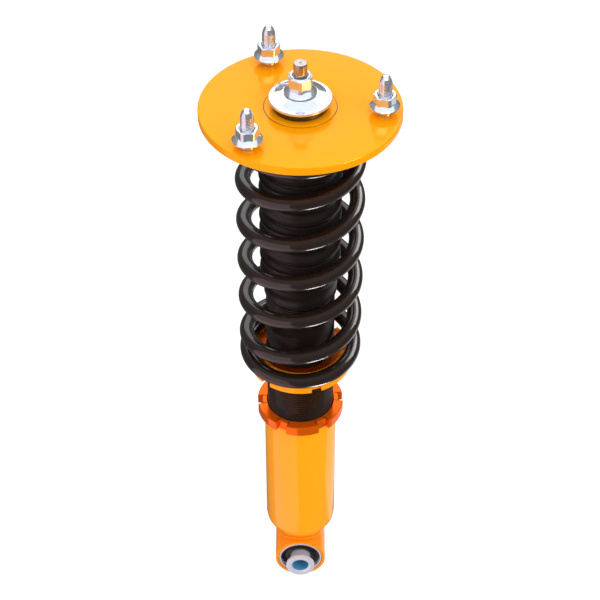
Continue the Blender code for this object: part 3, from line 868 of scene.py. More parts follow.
@dataclass
class TopMount:
    """Plate, insert, studs with their nuts and the upper spring seat."""

    plate_radius: float = 0.0716
    plate_thickness: float = 0.0060
    insert_radius: float = 0.0254
    insert_flange_radius: float = 0.0321
    insert_bore: float = 0.0100
    insert_low: float = -0.0113
    gap: float = 0.0003
    edge_break: float = 0.0002
    stud_circle: float = 0.0587
    stud_first_angle: float = math.radians(-7.4)
    stud_count: int = 3
    stud_crest: float = 0.0048
    stud_root: float = 0.0046
    stud_pitch: float = 0.00125
    collar_radius: float = 0.0056
    collar_height: float = 0.0052
    cone_start: float = 0.0246
    stud_top: float = 0.0308
    stud_head_radius: float = 0.0080
    stud_head_low: float = -0.0088
    nut_turns: tuple[float, float, float] = (20.4, 28.4, 37.2)

    def build_plate(self, finishes: Finishes) -> None:
        """Plate with rounded edges and the insert let into it, with a dark rubber ring in the gap as
        painted shade.

        Args:
            finishes: all finishes.
        """
        bore = self.insert_radius + self.gap + self.edge_break
        low = -self.plate_thickness
        play, sunk, foot = 0.00002, 0.0001, low + 0.0005
        inner, outer = self.insert_radius + play, bore - play
        # A dark rubber ring set almost flush in the gap: painted shade for the shadowed gap round the
        # insert.
        seat_turned(
            "insert_gap_dark_fill",
            [(inner, -sunk, 0.0), (outer, -sunk, 0.0), (outer, foot, 0.0), (inner, foot, 0.0)],
            finishes.rubber, 192, Body.TOP_MOUNT, "black_rubber",
        )
        seat_turned(
            "mount_plate",
            [
                (bore, 0.0, 0.00015), (self.plate_radius, 0.0, 0.0009),
                (self.plate_radius, low, 0.0008), (bore, low, 0.0003),
            ],
            finishes.plate, 256, Body.TOP_MOUNT, "orange_anodised_aluminium", "top_plate",
        )
        flange = low - self.gap
        seat_turned(
            "bearing_insert",
            [
                (self.insert_bore, self.gap, 0.0004), (self.insert_radius, self.gap, 0.00015),
                (self.insert_radius, flange, 0.0), (self.insert_flange_radius, flange, 0.0004),
                (self.insert_flange_radius, self.insert_low, 0.0004),
                (self.insert_bore, self.insert_low, 0.0004),
            ],
            finishes.plate, 192, Body.TOP_MOUNT, "orange_anodised_aluminium", "centre_insert",
        )

    def build_seat(self, finishes: Finishes) -> None:
        """Upper spring seat with the hub that holds the boot.

        Args:
            finishes: all finishes.
        """
        seat_turned(
            "spring_top_seat",
            [
                (0.0324, -0.0063, 0.0002), (0.0485, -0.0063, 0.0010), (0.0485, -0.0181, 0.0015),
                (0.0350, -0.0181, 0.0006), (0.0350, -0.0300, 0.0010), (0.0315, -0.0300, 0.0008),
                (0.0315, -0.0181, 0.0), (0.0240, -0.0181, 0.0006), (0.0240, -0.0116, 0.0006),
                (0.0324, -0.0116, 0.0),
            ],
            finishes.boot, 160, Body.TOP_MOUNT, "black_anodised_aluminium", "upper_spring_seat",
        )

    def build_studs(self, finishes: Finishes) -> None:
        """One threaded stud, repeated round the stud circle by a geometry tree.

        Args:
            finishes: all finishes.
        """
        shell = Shell(48)
        shell.thread(
            self.stud_crest, self.stud_root, self.stud_pitch, self.collar_height, self.cone_start,
        )
        shell.turn_open([
            (self.stud_root, self.cone_start, 0.0),
            (self.stud_crest - 0.0001, self.cone_start + 0.0002, 0.0003),
            (0.0043, self.stud_top - 0.0043, 0.0020), (0.0034, self.stud_top - 0.0020, 0.0020),
            (0.0021, self.stud_top - 0.0004, 0.0012), (0.0010, self.stud_top, 0.0006),
            (0.0, self.stud_top, 0.0),
        ])
        under = -self.plate_thickness - self.gap
        shell.turn_open([
            (self.stud_root, self.collar_height, 0.0),
            (self.collar_radius, self.collar_height, 0.0005), (self.collar_radius, self.gap, 0.0004),
            (self.stud_crest, self.gap, 0.0), (self.stud_crest, under, 0.0),
            (self.stud_head_radius, under, 0.0003),
            (self.stud_head_radius, self.stud_head_low, 0.0008), (0.0, self.stud_head_low, 0.0),
        ])
        stud = shell.finish("press_studs", finishes.zinc)
        tree = GeometryTree("studs_round_circle", {
            "Count": self.stud_count, "Circle Radius": self.stud_circle,
            "First Angle": self.stud_first_angle,
        })
        circle = add_node(
            tree.tree, "GeometryNodeMeshCircle", None,
            {"Vertices": tree.inputs["Count"], "Radius": tree.inputs["Circle Radius"]},
        )
        turn = add_node(tree.tree, "ShaderNodeCombineXYZ", None, {"Z": tree.inputs["First Angle"]})
        placed = add_node(
            tree.tree, "GeometryNodeTransform", None,
            {"Geometry": circle.outputs[0], "Rotation": turn.outputs[0]},
        )
        copies = add_node(
            tree.tree, "GeometryNodeInstanceOnPoints", None,
            {"Points": placed.outputs[0], "Instance": tree.inputs["Geometry"]},
        )
        tree.close(copies.outputs[0], finishes.zinc)
        studs = tree.run(stud)
        studs.data.set_sharp_from_angle(angle=math.radians(SHARP_DEGREES))
        install(studs, Body.TOP_MOUNT, "bright_zinc_plated_steel", "stud_1", "stud_2", "stud_3")

    def build_nuts(self, finishes: Finishes) -> None:
        """A flange nut on each stud's collar, each stopped at its own angle.

        Args:
            finishes: all finishes.
        """
        for index, turn in enumerate(self.nut_turns):
            angle = self.stud_first_angle + TAU * index / self.stud_count
            across, along = self.stud_circle * math.cos(angle), self.stud_circle * math.sin(angle)
            centre = Vector((across, along, 0.0))
            nut = HexNut(
                low=0.0055, height=0.0100, across_flats=0.0150, flange_radius=0.0107,
                flange_edge=0.0014, flange_height=0.0040, bore=0.0051, turn=turn,
            )
            piece = nut.build(f"flange_nut_{index + 1}", finishes.zinc, centre)
            install(piece, Body.TOP_MOUNT, "bright_zinc_plated_steel", f"stud_nut_{index + 1}")

    def build(self, finishes: Finishes) -> None:
        """Build the whole top mount.

        Args:
            finishes: all finishes.
        """
        self.build_plate(finishes)
        self.build_seat(finishes)
        self.build_studs(finishes)
        self.build_nuts(finishes)


@dataclass
class RodEnd:
    """The rod with the washers, bushes and nut on its upper end."""

    rod_top: float = 0.0360
    rod_radius: float = 0.00625
    end_radius: float = 0.0049
    end_root: float = 0.0044
    end_pitch: float = 0.00125
    plain_end: float = 0.0275
    shoulder: float = -0.0219
    rod_low: float = -0.1941
    tenon_radius: float = 0.0045
    tenon_z: float = -0.1642
    cup_radius: float = 0.0223
    cup_rim: float = 0.0059
    cup_boss: float = 0.0092
    cup_boss_radius: float = 0.0125
    cup_thickness: float = 0.0025
    hole: float = 0.0052
    centre_mark: float = 0.0008

    def build_rod(self, finishes: Finishes) -> None:
        """Rod with a plain machined tip, a centre mark and a thread for the nut.

        Args:
            finishes: all finishes.
        """
        shell = Shell(96)
        shell.thread(self.end_radius, self.end_root, self.end_pitch, self.shoulder, self.plain_end)
        mark = self.centre_mark
        shell.turn_open([
            (0.0, self.rod_top - mark, 0.0), (mark, self.rod_top, 0.0),
            (self.end_radius, self.rod_top, 0.0006), (self.end_radius, self.plain_end, 0.0),
            (self.end_root, self.plain_end, 0.0),
        ])
        shell.turn_open([
            (self.end_root, self.shoulder, 0.0), (self.rod_radius, self.shoulder, 0.0004),
            (self.rod_radius, self.tenon_z, 0.0004), (self.tenon_radius, self.tenon_z, 0.0),
            (self.tenon_radius, self.rod_low, 0.0006), (0.0, self.rod_low, 0.0),
        ])
        rod = shell.finish("piston_bar", finishes.rod)
        install(rod, Body.ROD, "ground_steel", "piston_rod")

    def build_nut(self, finishes: Finishes) -> None:
        """Tall locknut with a flange and a round collar.

        Args:
            finishes: all finishes.
        """
        nut = HexNut(
            low=0.0120, height=0.0136, across_flats=0.0165, flange_radius=0.0116,
            flange_edge=0.0014, flange_height=0.0040, bore=self.hole, turn=0.0,
            collar_radius=0.0076, collar_height=0.0008,
        )
        piece = nut.build("rod_lock_nut", finishes.zinc, Vector((0.0, 0.0, 0.0)))
        install(piece, Body.ROD, "bright_zinc_plated_steel", "rod_nut")

    def build_cup(self, finishes: Finishes) -> None:
        """Dished washer with a raised boss and a rolled rim.

        Args:
            finishes: all finishes.
        """
        thick = self.cup_thickness
        seat_turned(
            "dished_washer",
            [
                (self.hole, self.cup_boss + thick, 0.0002),
                (self.cup_boss_radius, self.cup_boss + thick, 0.0030),
                (self.cup_radius - 0.0030, self.cup_rim + thick + 0.0003, 0.0060),
                (self.cup_radius, self.cup_rim + thick, 0.0007), (self.cup_radius, self.cup_rim, 0.0007),
                (self.cup_boss_radius, self.cup_boss, 0.0030), (self.hole, self.cup_boss, 0.0002),
            ],
            finishes.zinc, 192, Body.ROD, "bright_zinc_plated_steel", "upper_cup_washer",
        )

    def build_rubber(self, finishes: Finishes) -> None:
        """Both rubber bushes, slightly barrelled, and the lower washer.

        Args:
            finishes: all finishes.
        """
        seat_turned(
            "top_bush",
            [
                (0.0072, 0.0089, 0.0003), (0.0122, 0.0089, 0.0010), (0.0198, 0.0058, 0.0008),
                (0.0200, 0.0034, 0.0010), (0.0197, 0.0006, 0.0008), (0.0097, 0.0006, 0.0),
                (0.0097, -0.0030, 0.0003), (0.0072, -0.0030, 0.0003),
            ],
            finishes.rubber, 160, Body.ROD, "black_rubber", "upper_rubber_bush",
        )
        seat_turned(
            "under_bush",
            [
                (0.0072, -0.0033, 0.0003), (0.0097, -0.0033, 0.0003), (0.0097, -0.0116, 0.0),
                (0.0157, -0.0116, 0.0010), (0.0160, -0.0150, 0.0012), (0.0157, -0.0188, 0.0010),
                (0.0072, -0.0188, 0.0003),
            ],
            finishes.rubber, 128, Body.ROD, "black_rubber", "lower_rubber_bush",
        )
        seat_turned(
            "under_washer",
            [
                (self.hole, -0.0191, 0.0003), (0.0175, -0.0191, 0.0008), (0.0175, -0.0216, 0.0008),
                (self.hole, -0.0216, 0.0003),
            ],
            finishes.zinc, 128, Body.ROD, "bright_zinc_plated_steel", "lower_cup_washer",
        )

    def build(self, finishes: Finishes) -> None:
        """Build everything on the rod's upper end.

        Args:
            finishes: all finishes.
        """
        self.build_rod(finishes)
        self.build_nut(finishes)
        self.build_cup(finishes)
        self.build_rubber(finishes)


@dataclass
class CoilSpring:
    """Round-wire spring with both ends closed."""

    outer_radius: float = 0.0474
    wire_radius: float = 0.0057
    pitch: float = 0.0373
    low: float = -0.22885
    high: float = -0.02415
    tip_angle: float = math.radians(130.0)
    flat: float = math.radians(73.5)
    ramp: float = math.radians(343.0)
    per_turn: int = 96
    sides: int = 40
    sharp_degrees: float = 40.0

    def last_angle(self) -> float:
        """Angle from the lower tip to the upper one."""
        return (self.high - self.low) * TAU / self.pitch + 2.0 * self.flat + self.ramp

    def height(self, angle: float) -> float:
        """Height of the wire's centre: level, then an even ramp to full pitch, mirrored at the top.

        Args:
            angle: angle from the lower tip.

        Returns:
            The height.
        """
        last = self.last_angle()
        first = min(max(angle - self.flat, 0.0), self.ramp)
        rise = first * first / (2.0 * self.ramp) + max(angle - self.flat - self.ramp, 0.0)
        fade = min(max(angle - (last - self.flat - self.ramp), 0.0), self.ramp)
        rise -= fade * fade / (2.0 * self.ramp) + max(angle - (last - self.flat), 0.0)
        return self.low + self.pitch / TAU * rise

    def path(self) -> list[Vector]:
        """Points along the wire's centre."""
        last = self.last_angle()
        count = int(last / TAU * self.per_turn)
        radius = self.outer_radius - self.wire_radius
        points = []
        for i in range(count + 1):
            angle = last * i / count
            turn = self.tip_angle + angle
            spot = (radius * math.cos(turn), radius * math.sin(turn), self.height(angle))
            points.append(Vector(spot))
        return points

    def build(self, finishes: Finishes) -> None:
        """Sweep the wire along its path with a geometry tree.

        Args:
            finishes: all finishes.
        """
        line = path_object("coil_wire", self.path(), False)
        tree = GeometryTree("wire_along_path", {"Wire Radius": self.wire_radius, "Sides": self.sides})
        curve = add_node(tree.tree, "GeometryNodeMeshToCurve", None, {"Mesh": tree.inputs["Geometry"]})
        circle = add_node(
            tree.tree, "GeometryNodeCurvePrimitiveCircle", None,
            {"Resolution": tree.inputs["Sides"], "Radius": tree.inputs["Wire Radius"]},
        )
        swept = add_node(
            tree.tree, "GeometryNodeCurveToMesh", None,
            {"Curve": curve.outputs[0], "Profile Curve": circle.outputs[0], "Fill Caps": True},
        )
        tree.close(swept.outputs[0], finishes.powder)
        spring = tree.run(line)
        spring.data.set_sharp_from_angle(angle=math.radians(self.sharp_degrees))
        install(spring, Body.SPRING, "black_powder_coat", "coil_spring")
        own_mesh(spring)


@dataclass
class DustBoot:
    """Bellows over the rod, with a plain collar at the top and a cuff at the bottom."""

    top: float = -0.0188
    collar_low: float = -0.0310
    collar_radius: float = 0.0312
    first_ridge: float = -0.0451
    ridge_count: int = 9
    ridge_steps: int = 10
    ridge_power: float = 0.8
    ridge_pitch: float = 0.0124
    ridge_radius: float = 0.03045
    valley_radius: float = 0.0276
    cuff_top: float = -0.1530
    cuff_low: float = -0.1683
    cuff_radius: float = 0.0282
    wall: float = 0.0008

    def outer(self) -> list[tuple[float, float]]:
        """Outside of the boot, from the top down: flat-flanked folds with narrow ridges."""
        points = [(self.collar_radius, self.top), (self.collar_radius, self.collar_low)]
        for ridge in range(self.ridge_count):
            centre = self.first_ridge - ridge * self.ridge_pitch
            for step in range(self.ridge_steps):
                share = step / self.ridge_steps
                z = centre + self.ridge_pitch * (0.5 - share)
                swell = (0.5 - 0.5 * math.cos(TAU * share)) ** self.ridge_power
                radius = self.valley_radius + (self.ridge_radius - self.valley_radius) * swell
                points.append((radius, z))
        points.append((self.valley_radius + 0.0002, self.cuff_top + 0.0004))
        points.append((self.cuff_radius, self.cuff_top - 0.0010))
        points.append((self.cuff_radius - 0.0004, self.cuff_low + 0.0006))
        points.append((self.cuff_radius - 0.0008, self.cuff_low))
        return points

    def build(self, finishes: Finishes) -> None:
        """Turn the bellows with an even wall.

        Args:
            finishes: all finishes.
        """
        outer = self.outer()
        inner = [(max(r - self.wall, BODY_CLEARANCE), z) for r, z in outer]
        shell = Shell(160)
        shell.turn(outer + inner[::-1], True)
        boot = shell.finish("bellows_boot", finishes.boot, None, 50.0)
        install(boot, Body.TOP_MOUNT, "black_rubber", "dust_boot")
        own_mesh(boot)


@dataclass
class ThreadedBody:
    """Damper tube with a fine thread over its whole length."""

    crest: float = 0.0265
    root: float = 0.0254
    pitch: float = 0.0020
    bore: float = 0.0220
    top: float = -0.1230
    low: float = -0.3980

    def build(self, finishes: Finishes) -> None:
        """Cut the thread as a real helix and close the tube's ends and bore.

        Args:
            finishes: all finishes.
        """
        shell = Shell(112)
        shell.thread(self.crest, self.root, self.pitch, self.low, self.top)
        shell.turn(
            [(self.root, self.top), (self.bore, self.top), (self.bore, self.low), (self.root, self.low)],
            False,
        )
        body = shell.finish("threaded_tube", finishes.thread, None, 25.0)
        install(body, Body.DAMPER, "black_coated_steel", "damper_tube")


@dataclass
class Castellated:
    """A turned ring with square notches round its rim.

    Attributes:
        radius: radius of the rim.
        high: height of the rim's upper face.
        low: height of the lower face.
        bore: radius of the hole.
        notch_width: width of a notch.
        notch_depth: depth of a notch.
        notch_angle: angle of the first notch's middle.
        hub_radius: radius of a hub that stands on the rim, or 0.
        hub_top: height of the hub's top.
        chamfer: size of the broken edges.
        hub_fillet: size of the fillet at the hub's foot.
        notch_count: number of notches.
        arc_steps: points along the rim between two notches.
    """

    radius: float
    high: float
    low: float
    bore: float
    notch_width: float
    notch_depth: float
    notch_angle: float
    hub_radius: float = 0.0
    hub_top: float = 0.0
    chamfer: float = 0.0006
    hub_fillet: float = 0.0006
    notch_count: int = 6
    arc_steps: int = 22

    def rim(self, inset: float, z: float) -> list[Vector]:
        """Outline of the notched rim, drawn in by an inset.

        Args:
            inset: distance inside the full outline.
            z: its height.

        Returns:
            Its points, in order.
        """
        outer = self.radius - inset
        floor = self.radius - self.notch_depth - inset
        half = self.notch_width / 2.0 + inset
        points: list[Vector] = []
        step = TAU / self.notch_count
        for notch in range(self.notch_count):
            middle = self.notch_angle + notch * step
            deep = math.asin(half / floor)
            wide = math.asin(half / outer)
            polar = [(floor, middle + deep * share) for share in (-1.0, -0.5, 0.0, 0.5, 1.0)]
            start = middle + wide
            span = step - 2.0 * wide
            polar += [(outer, start + span * i / self.arc_steps) for i in range(self.arc_steps + 1)]
            points += [Vector((r * math.cos(a), r * math.sin(a), z)) for r, a in polar]
        return points

    def circle(self, radius: float, z: float) -> list[Vector]:
        """Circle whose points stand under those of the rim."""
        flat = self.rim(0.0, 0.0)
        return [Vector((p.x, p.y, 0.0)).normalized() * radius + Vector((0.0, 0.0, z)) for p in flat]

    def build(self, name: str, material: bpy.types.Material) -> bpy.types.Object:
        """Make the ring.

        Args:
            name: the piece's name.
            material: its finish.

        Returns:
            The new object.
        """
        edge = self.chamfer
        rings = [
            self.rim(edge, self.low), self.rim(0.0, self.low + edge),
            self.rim(0.0, self.high - edge), self.rim(edge, self.high),
        ]
        crown = self.high
        if self.hub_radius > 0.0:
            crown = self.hub_top
            rings.append(self.circle(self.hub_radius + self.hub_fillet, self.high))
            rings.append(self.circle(self.hub_radius, self.high + self.hub_fillet))
            rings.append(self.circle(self.hub_radius, crown - edge))
            rings.append(self.circle(self.hub_radius - edge, crown))
        rings.append(self.circle(self.bore + edge, crown))
        rings.append(self.circle(self.bore, crown - edge))
        rings.append(self.circle(self.bore, self.low + edge))
        rings.append(self.circle(self.bore + edge, self.low))
        shell = Shell(len(rings[0]))
        shell.loft(rings)
        return shell.finish(name, material, None, 30.0)


@dataclass
class Adjusters:
    """Spring perch and lock ring.

    Attributes:
        shade_radius: the perch's upper faces within this are drawn deep red, as painted shade under the
            spring.
        upward: least upward share of such a face's normal.
    """

    shade_radius: float = 0.0350
    upward: float = 0.9

    def build(self, finishes: Finishes) -> None:
        """Make both castellated rings.

        Args:
            finishes: all finishes.
        """
        perch = Castellated(
            radius=0.0405, high=-0.2349, low=-0.2438, bore=BODY_CLEARANCE, notch_width=0.0080,
            notch_depth=0.0034, notch_angle=math.radians(-71.6), hub_radius=0.0331, hub_top=-0.2284,
        ).build("castellated_perch", finishes.perch)
        # Upward faces inside the spring take the deep red: painted shade from the spring over them.
        perch.data.materials.append(finishes.perch_shade)
        for face in perch.data.polygons:
            reach = Vector(face.center[:2]).length
            if face.normal.z > self.upward and reach < self.shade_radius:
                face.material_index = 1
        install(perch, Body.PERCH, "deep_orange_anodised_aluminium", "spring_perch")
        ring = Castellated(
            radius=0.0346, high=-0.2884, low=-0.2974, bore=BODY_CLEARANCE, notch_width=0.0090,
            notch_depth=0.0038, notch_angle=math.radians(-57.0), chamfer=0.0005,
        ).build("castellated_lock_ring", finishes.ring)
        install(ring, Body.LOCK_RING, "deep_orange_anodised_aluminium", "lower_lock_ring")


@dataclass
class LowerBracket:
    """Threaded cup with the eye under it, and the rubber bush in the eye."""

    tube_radius: float = 0.0290
    tube_top: float = -0.2977
    tube_low: float = -0.4324
    tube_corner: float = 0.0095
    bore: float = BODY_CLEARANCE
    floor: float = -0.4244
    eye_z: float = EYE_Z
    eye_radius: float = 0.0215
    eye_half: float = 0.0212
    eye_bore: float = 0.0189
    neck_radius: float = 0.0165
    neck_gap: float = 0.0003
    neck_sink: float = 0.004
    bead_points: int = 160
    bead_radius: float = 0.0017
    bead_spacing: float = 0.0013

    def across(self) -> Matrix:
        """Placement that turns a piece made about Z onto the eye's bolt."""
        return Matrix.Translation((0.0, 0.0, self.eye_z)) @ Matrix.Rotation(math.pi / 2.0, 4, "X")

    def build_tube(self, finishes: Finishes) -> None:
        """Plain drawn cup, its open end chamfered and its closed end well rounded.

        Args:
            finishes: all finishes.
        """
        seat_turned(
            "drawn_tube",
            [
                (0.0, self.floor, 0.0), (self.bore, self.floor, 0.002),
                (self.bore, self.tube_top, 0.0004), (self.tube_radius, self.tube_top, 0.0008),
                (self.tube_radius, self.tube_low, self.tube_corner), (0.0, self.tube_low, 0.0),
            ],
            finishes.tube, 224, Body.BRACKET, "orange_anodised_aluminium", "bracket_tube",
        )

    def build_eye(self, finishes: Finishes) -> None:
        """Barrel and neck joined into one body, with broken edges.

        Args:
            finishes: all finishes.
        """
        half = self.eye_half
        barrel = turned(
            "welded_eye",
            [
                (self.eye_bore, half, 0.0005), (self.eye_radius, half, 0.0008),
                (self.eye_radius, -half, 0.0008), (self.eye_bore, -half, 0.0005),
            ],
            finishes.eye, 192, self.across(),
        )
        top = self.tube_low - self.neck_gap
        saddle = self.eye_z + (self.eye_bore + self.eye_radius) / 2.0 - self.neck_sink
        neck = turned(
            "neck_tool",
            [
                (0.0, top, 0.0), (self.neck_radius, top, 0.0),
                (self.neck_radius, saddle, 0.0), (0.0, saddle, 0.0),
            ],
            finishes.eye, 128,
        )
        union = barrel.modifiers.new("Neck", "BOOLEAN")
        union.operation = "UNION"
        union.object = neck
        union.solver = "EXACT"
        drill = turned(
            "bore_tool",
            [
                (0.0, 2.0 * half, 0.0), (self.eye_bore, 2.0 * half, 0.0),
                (self.eye_bore, -2.0 * half, 0.0), (0.0, -2.0 * half, 0.0),
            ],
            finishes.eye, 192, self.across(),
        )
        cut = barrel.modifiers.new("Bore", "BOOLEAN")
        cut.operation = "DIFFERENCE"
        cut.object = drill
        cut.solver = "EXACT"
        eye = applied(barrel)
        for tool in (neck, drill):
            bpy.data.objects.remove(tool, do_unlink=True)
        eye.data.shade_smooth()
        eye.data.set_sharp_from_angle(angle=math.radians(SHARP_DEGREES))
        install(eye, Body.BRACKET, "orange_anodised_aluminium", "eye_barrel")

    def build_bead(self, finishes: Finishes) -> None:
        """Weld bead round the foot of the neck, drop upon drop, by a geometry tree.

        Args:
            finishes: all finishes.
        """
        points = []
        for i in range(self.bead_points):
            angle = TAU * i / self.bead_points
            x = self.neck_radius * math.cos(angle)
            y = self.neck_radius * math.sin(angle)
            points.append(Vector((x, y, self.eye_z + math.sqrt(self.eye_radius ** 2 - x ** 2))))
        line = path_object("weld_bead", points, True)
        tree = GeometryTree(
            "drops_along_joint", {"Drop Radius": self.bead_radius, "Spacing": self.bead_spacing},
        )
        curve = add_node(tree.tree, "GeometryNodeMeshToCurve", None, {"Mesh": tree.inputs["Geometry"]})
        spots = add_node(
            tree.tree, "GeometryNodeCurveToPoints", {"mode": "LENGTH"},
            {"Curve": curve.outputs[0], "Length": tree.inputs["Spacing"]},
        )
        drop = add_node(
            tree.tree, "GeometryNodeMeshIcoSphere", None,
            {"Radius": tree.inputs["Drop Radius"], "Subdivisions": 2},
        )
        size = add_node(
            tree.tree, "FunctionNodeRandomValue", {"data_type": "FLOAT"}, {2: 0.8, 3: 1.15, "Seed": 4},
        )
        copies = add_node(
            tree.tree, "GeometryNodeInstanceOnPoints", None,
            {"Points": spots.outputs[0], "Instance": drop.outputs[0], "Scale": size.outputs[1]},
        )
        tree.close(copies.outputs[0], finishes.eye)
        bead = tree.run(line)
        install(bead, Body.BRACKET, "orange_anodised_aluminium")

    def build_bush(self, finishes: Finishes) -> None:
        """Bright outer ring, stepped rubber and the flanged inner sleeve.

        Args:
            finishes: all finishes.
        """
        seat_turned(
            "bush_bright_ring",
            [
                (0.0170, 0.0206, 0.0003), (0.0186, 0.0206, 0.0004), (0.0186, -0.0206, 0.0004),
                (0.0170, -0.0206, 0.0003),
            ],
            finishes.sleeve, 160, Body.BRACKET, "ground_steel", "bush_outer_ring", move=self.across(),
        )
        half = [
            (0.0090, 0.0186, 0.0002), (0.0110, 0.0190, 0.0004), (0.0112, 0.0176, 0.0003),
            (0.0128, 0.0176, 0.0003), (0.0131, 0.0160, 0.0006), (0.0150, 0.0150, 0.0010),
            (0.0167, 0.0176, 0.0003),
        ]
        other = [(r, -z, c) for r, z, c in half[::-1]]
        rubber = turned("bush_stepped_rubber", half + other, finishes.rubber, 160, self.across())
        install(rubber, Body.BRACKET, "black_rubber", "bush_rubber")
        end, neck = 0.0300, 0.0270
        bore, mouth, barrel, flange = 0.0071, 0.0083, 0.0087, 0.0122
        lead_in, bore_reach = 0.0012, 0.0074
        sleeve = turned(
            "flanged_sleeve",
            [
                (bore, end - lead_in, 0.0), (mouth, end, 0.0001), (flange, end, 0.0005),
                (flange, neck, 0.0005), (barrel, neck, 0.0003), (barrel, -neck, 0.0003),
                (flange, -neck, 0.0005), (flange, -end, 0.0005), (mouth, -end, 0.0001),
                (bore, -end + lead_in, 0.0),
            ],
            finishes.sleeve, 128, self.across(),
        )
        sleeve.data.materials.append(finishes.bore)
        for face in sleeve.data.polygons:
            reach = Vector((face.center.x, face.center.z - self.eye_z)).length
            if reach < bore_reach:
                face.material_index = 1
        install(sleeve, Body.EYE_SLEEVE, "bright_zinc_plated_steel", "eye_sleeve")

    def build(self, finishes: Finishes) -> None:
        """Build the whole bracket.

        Args:
            finishes: all finishes.
        """
        self.build_tube(finishes)
        self.build_eye(finishes)
        self.build_bead(finishes)
        self.build_bush(finishes)


@dataclass
class HiddenWorks:
    """Pieces inside the damper: their frame shapes are right, so they only get their finishes."""

    def build(self, frame: dict[str, Any], finishes: Finishes) -> None:
        """Dress every frame node that stays, by its material slot.

        Args:
            frame: the loaded frame.
            finishes: all finishes.
        """
        by_slot = {
            "bright_zinc_plated_steel": finishes.zinc,
            "ground_steel": finishes.rod,
            "black_rubber": finishes.rubber,
            "microcellular_foam": finishes.foam,
            "bearing_polymer": finishes.polymer,
            "black_anodised_aluminium": finishes.thread,
        }
        for part in frame["record"]["subparts"]:
            material = by_slot.get(part["material_slot"])
            node = frame["nodes"].get(part["node"])
            if material is None or node is None:
                continue
            node.data.materials.clear()
            node.data.materials.append(material)
            LOG.info("%s dressed as %s", part["node"], material.name)


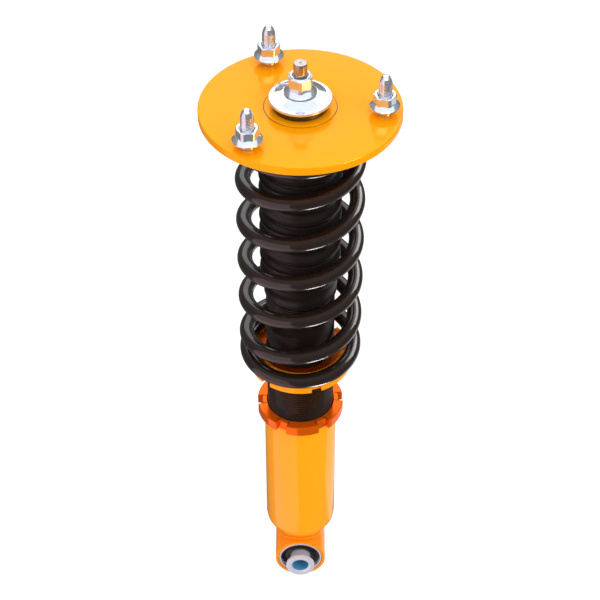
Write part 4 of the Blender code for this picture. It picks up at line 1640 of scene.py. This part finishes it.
@dataclass
class Studio:
    """Floor, camera and soft lights."""

    floor_z: float = -0.85
    floor_size: float = 6.0
    lens: float = 98.6
    sensor_width: float = 36.0
    shift: tuple[float, float] = (-0.0006, -0.0037)
    clip_start: float = 0.01
    camera_place: tuple[float, float, float] = (0.0, -0.9385, 0.6651)
    camera_tilt: float = math.radians(48.02)
    surround: float = 1.04
    low_gloss: float = 0.12
    high_gloss: float = 0.3

    def panel(
        self, name: str, place: tuple[float, float, float], aim: tuple[float, float, float],
        size: tuple[float, float], radiance: float, colour: str = "#FFFFFF", card: bool = True,
    ) -> bpy.types.Object:
        """Add a rectangular soft light, or a card that only shows in reflections.

        Args:
            name: the light's name.
            place: its centre.
            aim: the point that it faces.
            size: its width and height.
            radiance: how bright its face looks, 1 being white.
            colour: its colour.
            card: whether it is a card, which throws no light on matt surfaces.

        Returns:
            The light.
        """
        data = bpy.data.lights.new(name, "AREA")
        data.shape = "RECTANGLE"
        data.size, data.size_y = size
        # A rectangle's face is as bright as a quarter of its power over its area.
        data.energy = radiance * 4.0 * data.size * data.size_y
        data.color = linear(colour)[:3]
        light = new_object(name, data)
        light.location = place
        light.rotation_euler = (Vector(aim) - Vector(place)).to_track_quat("-Z", "Y").to_euler()
        light.visible_camera = False
        light.visible_diffuse = not card
        light.visible_glossy = card
        return light

    def build_world(self) -> None:
        """Even pale surround, dimmer in gloss so that the panels draw the reflections."""
        world = bpy.data.worlds.new("studio")
        bpy.context.scene.world = world
        world.use_nodes = True
        world.cycles.sampling_method = "NONE"
        tree = world.node_tree
        background = tree.nodes["Background"]
        background.inputs["Color"].default_value = linear("#FFFFFF")
        path = add_node(tree, "ShaderNodeLightPath")
        coordinates = add_node(tree, "ShaderNodeTexCoord")
        split = add_node(tree, "ShaderNodeSeparateXYZ", None, {0: coordinates.outputs["Generated"]})
        height = add_node(
            tree, "ShaderNodeMapRange", {"interpolation_type": "SMOOTHSTEP"},
            {
                "Value": split.outputs["Z"], "From Min": -0.1, "From Max": 0.75,
                "To Min": self.low_gloss, "To Max": self.high_gloss,
            },
        )
        strength = add_node(
            tree, "ShaderNodeMix", {"data_type": "FLOAT"},
            {0: path.outputs["Is Glossy Ray"], 2: self.surround, 3: height.outputs["Result"]},
        )
        tree.links.new(strength.outputs[0], background.inputs["Strength"])

    def build_floor(self) -> None:
        """Wide pale floor."""
        data = bpy.data.meshes.new("floor")
        shape = bmesh.new()
        bmesh.ops.create_grid(shape, x_segments=1, y_segments=1, size=self.floor_size)
        bmesh.ops.translate(shape, verts=shape.verts, vec=(0.0, 0.0, self.floor_z))
        shape.to_mesh(data)
        shape.free()
        floor = new_object("floor", data)
        material = bpy.data.materials.new("matt_white_paper")
        material.use_nodes = True
        shader = material.node_tree.nodes["Principled BSDF"]
        shader.inputs["Base Color"].default_value = linear("#FBFBFB")
        shader.inputs["Roughness"].default_value = 0.9
        data.materials.append(material)
        floor.visible_glossy = False
        floor.visible_shadow = False

    def build_camera(self) -> None:
        """Long lens that looks down on the mount."""
        data = bpy.data.cameras.new("camera")
        data.lens = self.lens
        data.sensor_width = self.sensor_width
        data.shift_x, data.shift_y = self.shift
        data.clip_start = self.clip_start
        camera = new_object("camera", data)
        camera.location = self.camera_place
        camera.rotation_euler = (self.camera_tilt, 0.0, 0.0)
        bpy.context.scene.camera = camera

    def build(self, finishes: Finishes) -> None:
        """Set up the whole studio.

        Args:
            finishes: all finishes, because some cards show in one finish only.
        """
        bpy.context.scene.view_settings.view_transform = "Standard"
        self.build_world()
        self.build_floor()
        self.build_camera()
        middle = (0.0, 0.0, -0.2)
        self.panel("overhead", (-0.2, -0.3, 2.2), middle, (2.2, 2.0), 0.7, card=False)
        self.panel("key", (1.3, -1.3, 0.9), middle, (1.6, 1.6), 1.5, card=False)
        self.panel("back_wall", (0.0, 2.2, 1.9), middle, (3.4, 2.6), 1.0)
        self.panel("left_sheet", (-0.85, -0.66, -0.55), middle, (1.5, 2.6), 0.8, "#F2CCD8")
        self.panel("right_window", (0.73, 0.57, -1.07), middle, (1.1, 0.7), 0.5)
        coil_window = self.panel("coil_window", (0.90, 0.56, 0.60), middle, (0.8, 0.6), 5.0)
        under_card = self.panel("under_card", (0.30, -0.08, -1.38), middle, (0.5, 0.2), 9.0)
        front_high = self.panel("front_high", (0.15, -1.15, 1.05), middle, (1.5, 0.4), 1.7)
        sky = self.panel("sky", (0.0, -0.6, 1.9), middle, (6.0, 3.4), 0.72, "#DCE8FF")
        edge_light = self.panel("edge_light", (1.0, -0.6, 0.9), middle, (0.45, 0.45), 16.0)
        self.keep_to(finishes.powder, coil_window, under_card)
        self.keep_to(finishes.zinc, front_high, sky)
        self.keep_to(finishes.plate, edge_light)

    def keep_to(self, finish: bpy.types.Material, *lights: bpy.types.Object) -> None:
        """Let cards show only in the pieces of one finish.

        Args:
            finish: the finish that reflects them.
            lights: cards that other pieces don't reflect.
        """
        pieces = bpy.data.collections.new(f"pieces_in_{finish.name}")
        for piece in bpy.context.scene.objects:
            if piece.type == "MESH" and finish in list(piece.data.materials):
                pieces.objects.link(piece)
        for light in lights:
            light.light_linking.receiver_collection = pieces


def main() -> None:
    """Build every sub-assembly on the frame."""
    logging.basicConfig(level=logging.INFO, format="%(message)s")
    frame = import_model()
    finishes = Finishes()
    TopMount().build(finishes)
    RodEnd().build(finishes)
    CoilSpring().build(finishes)
    DustBoot().build(finishes)
    ThreadedBody().build(finishes)
    Adjusters().build(finishes)
    LowerBracket().build(finishes)
    HiddenWorks().build(frame, finishes)
    Studio().build(finishes)


if __name__ == "__main__":
    main()
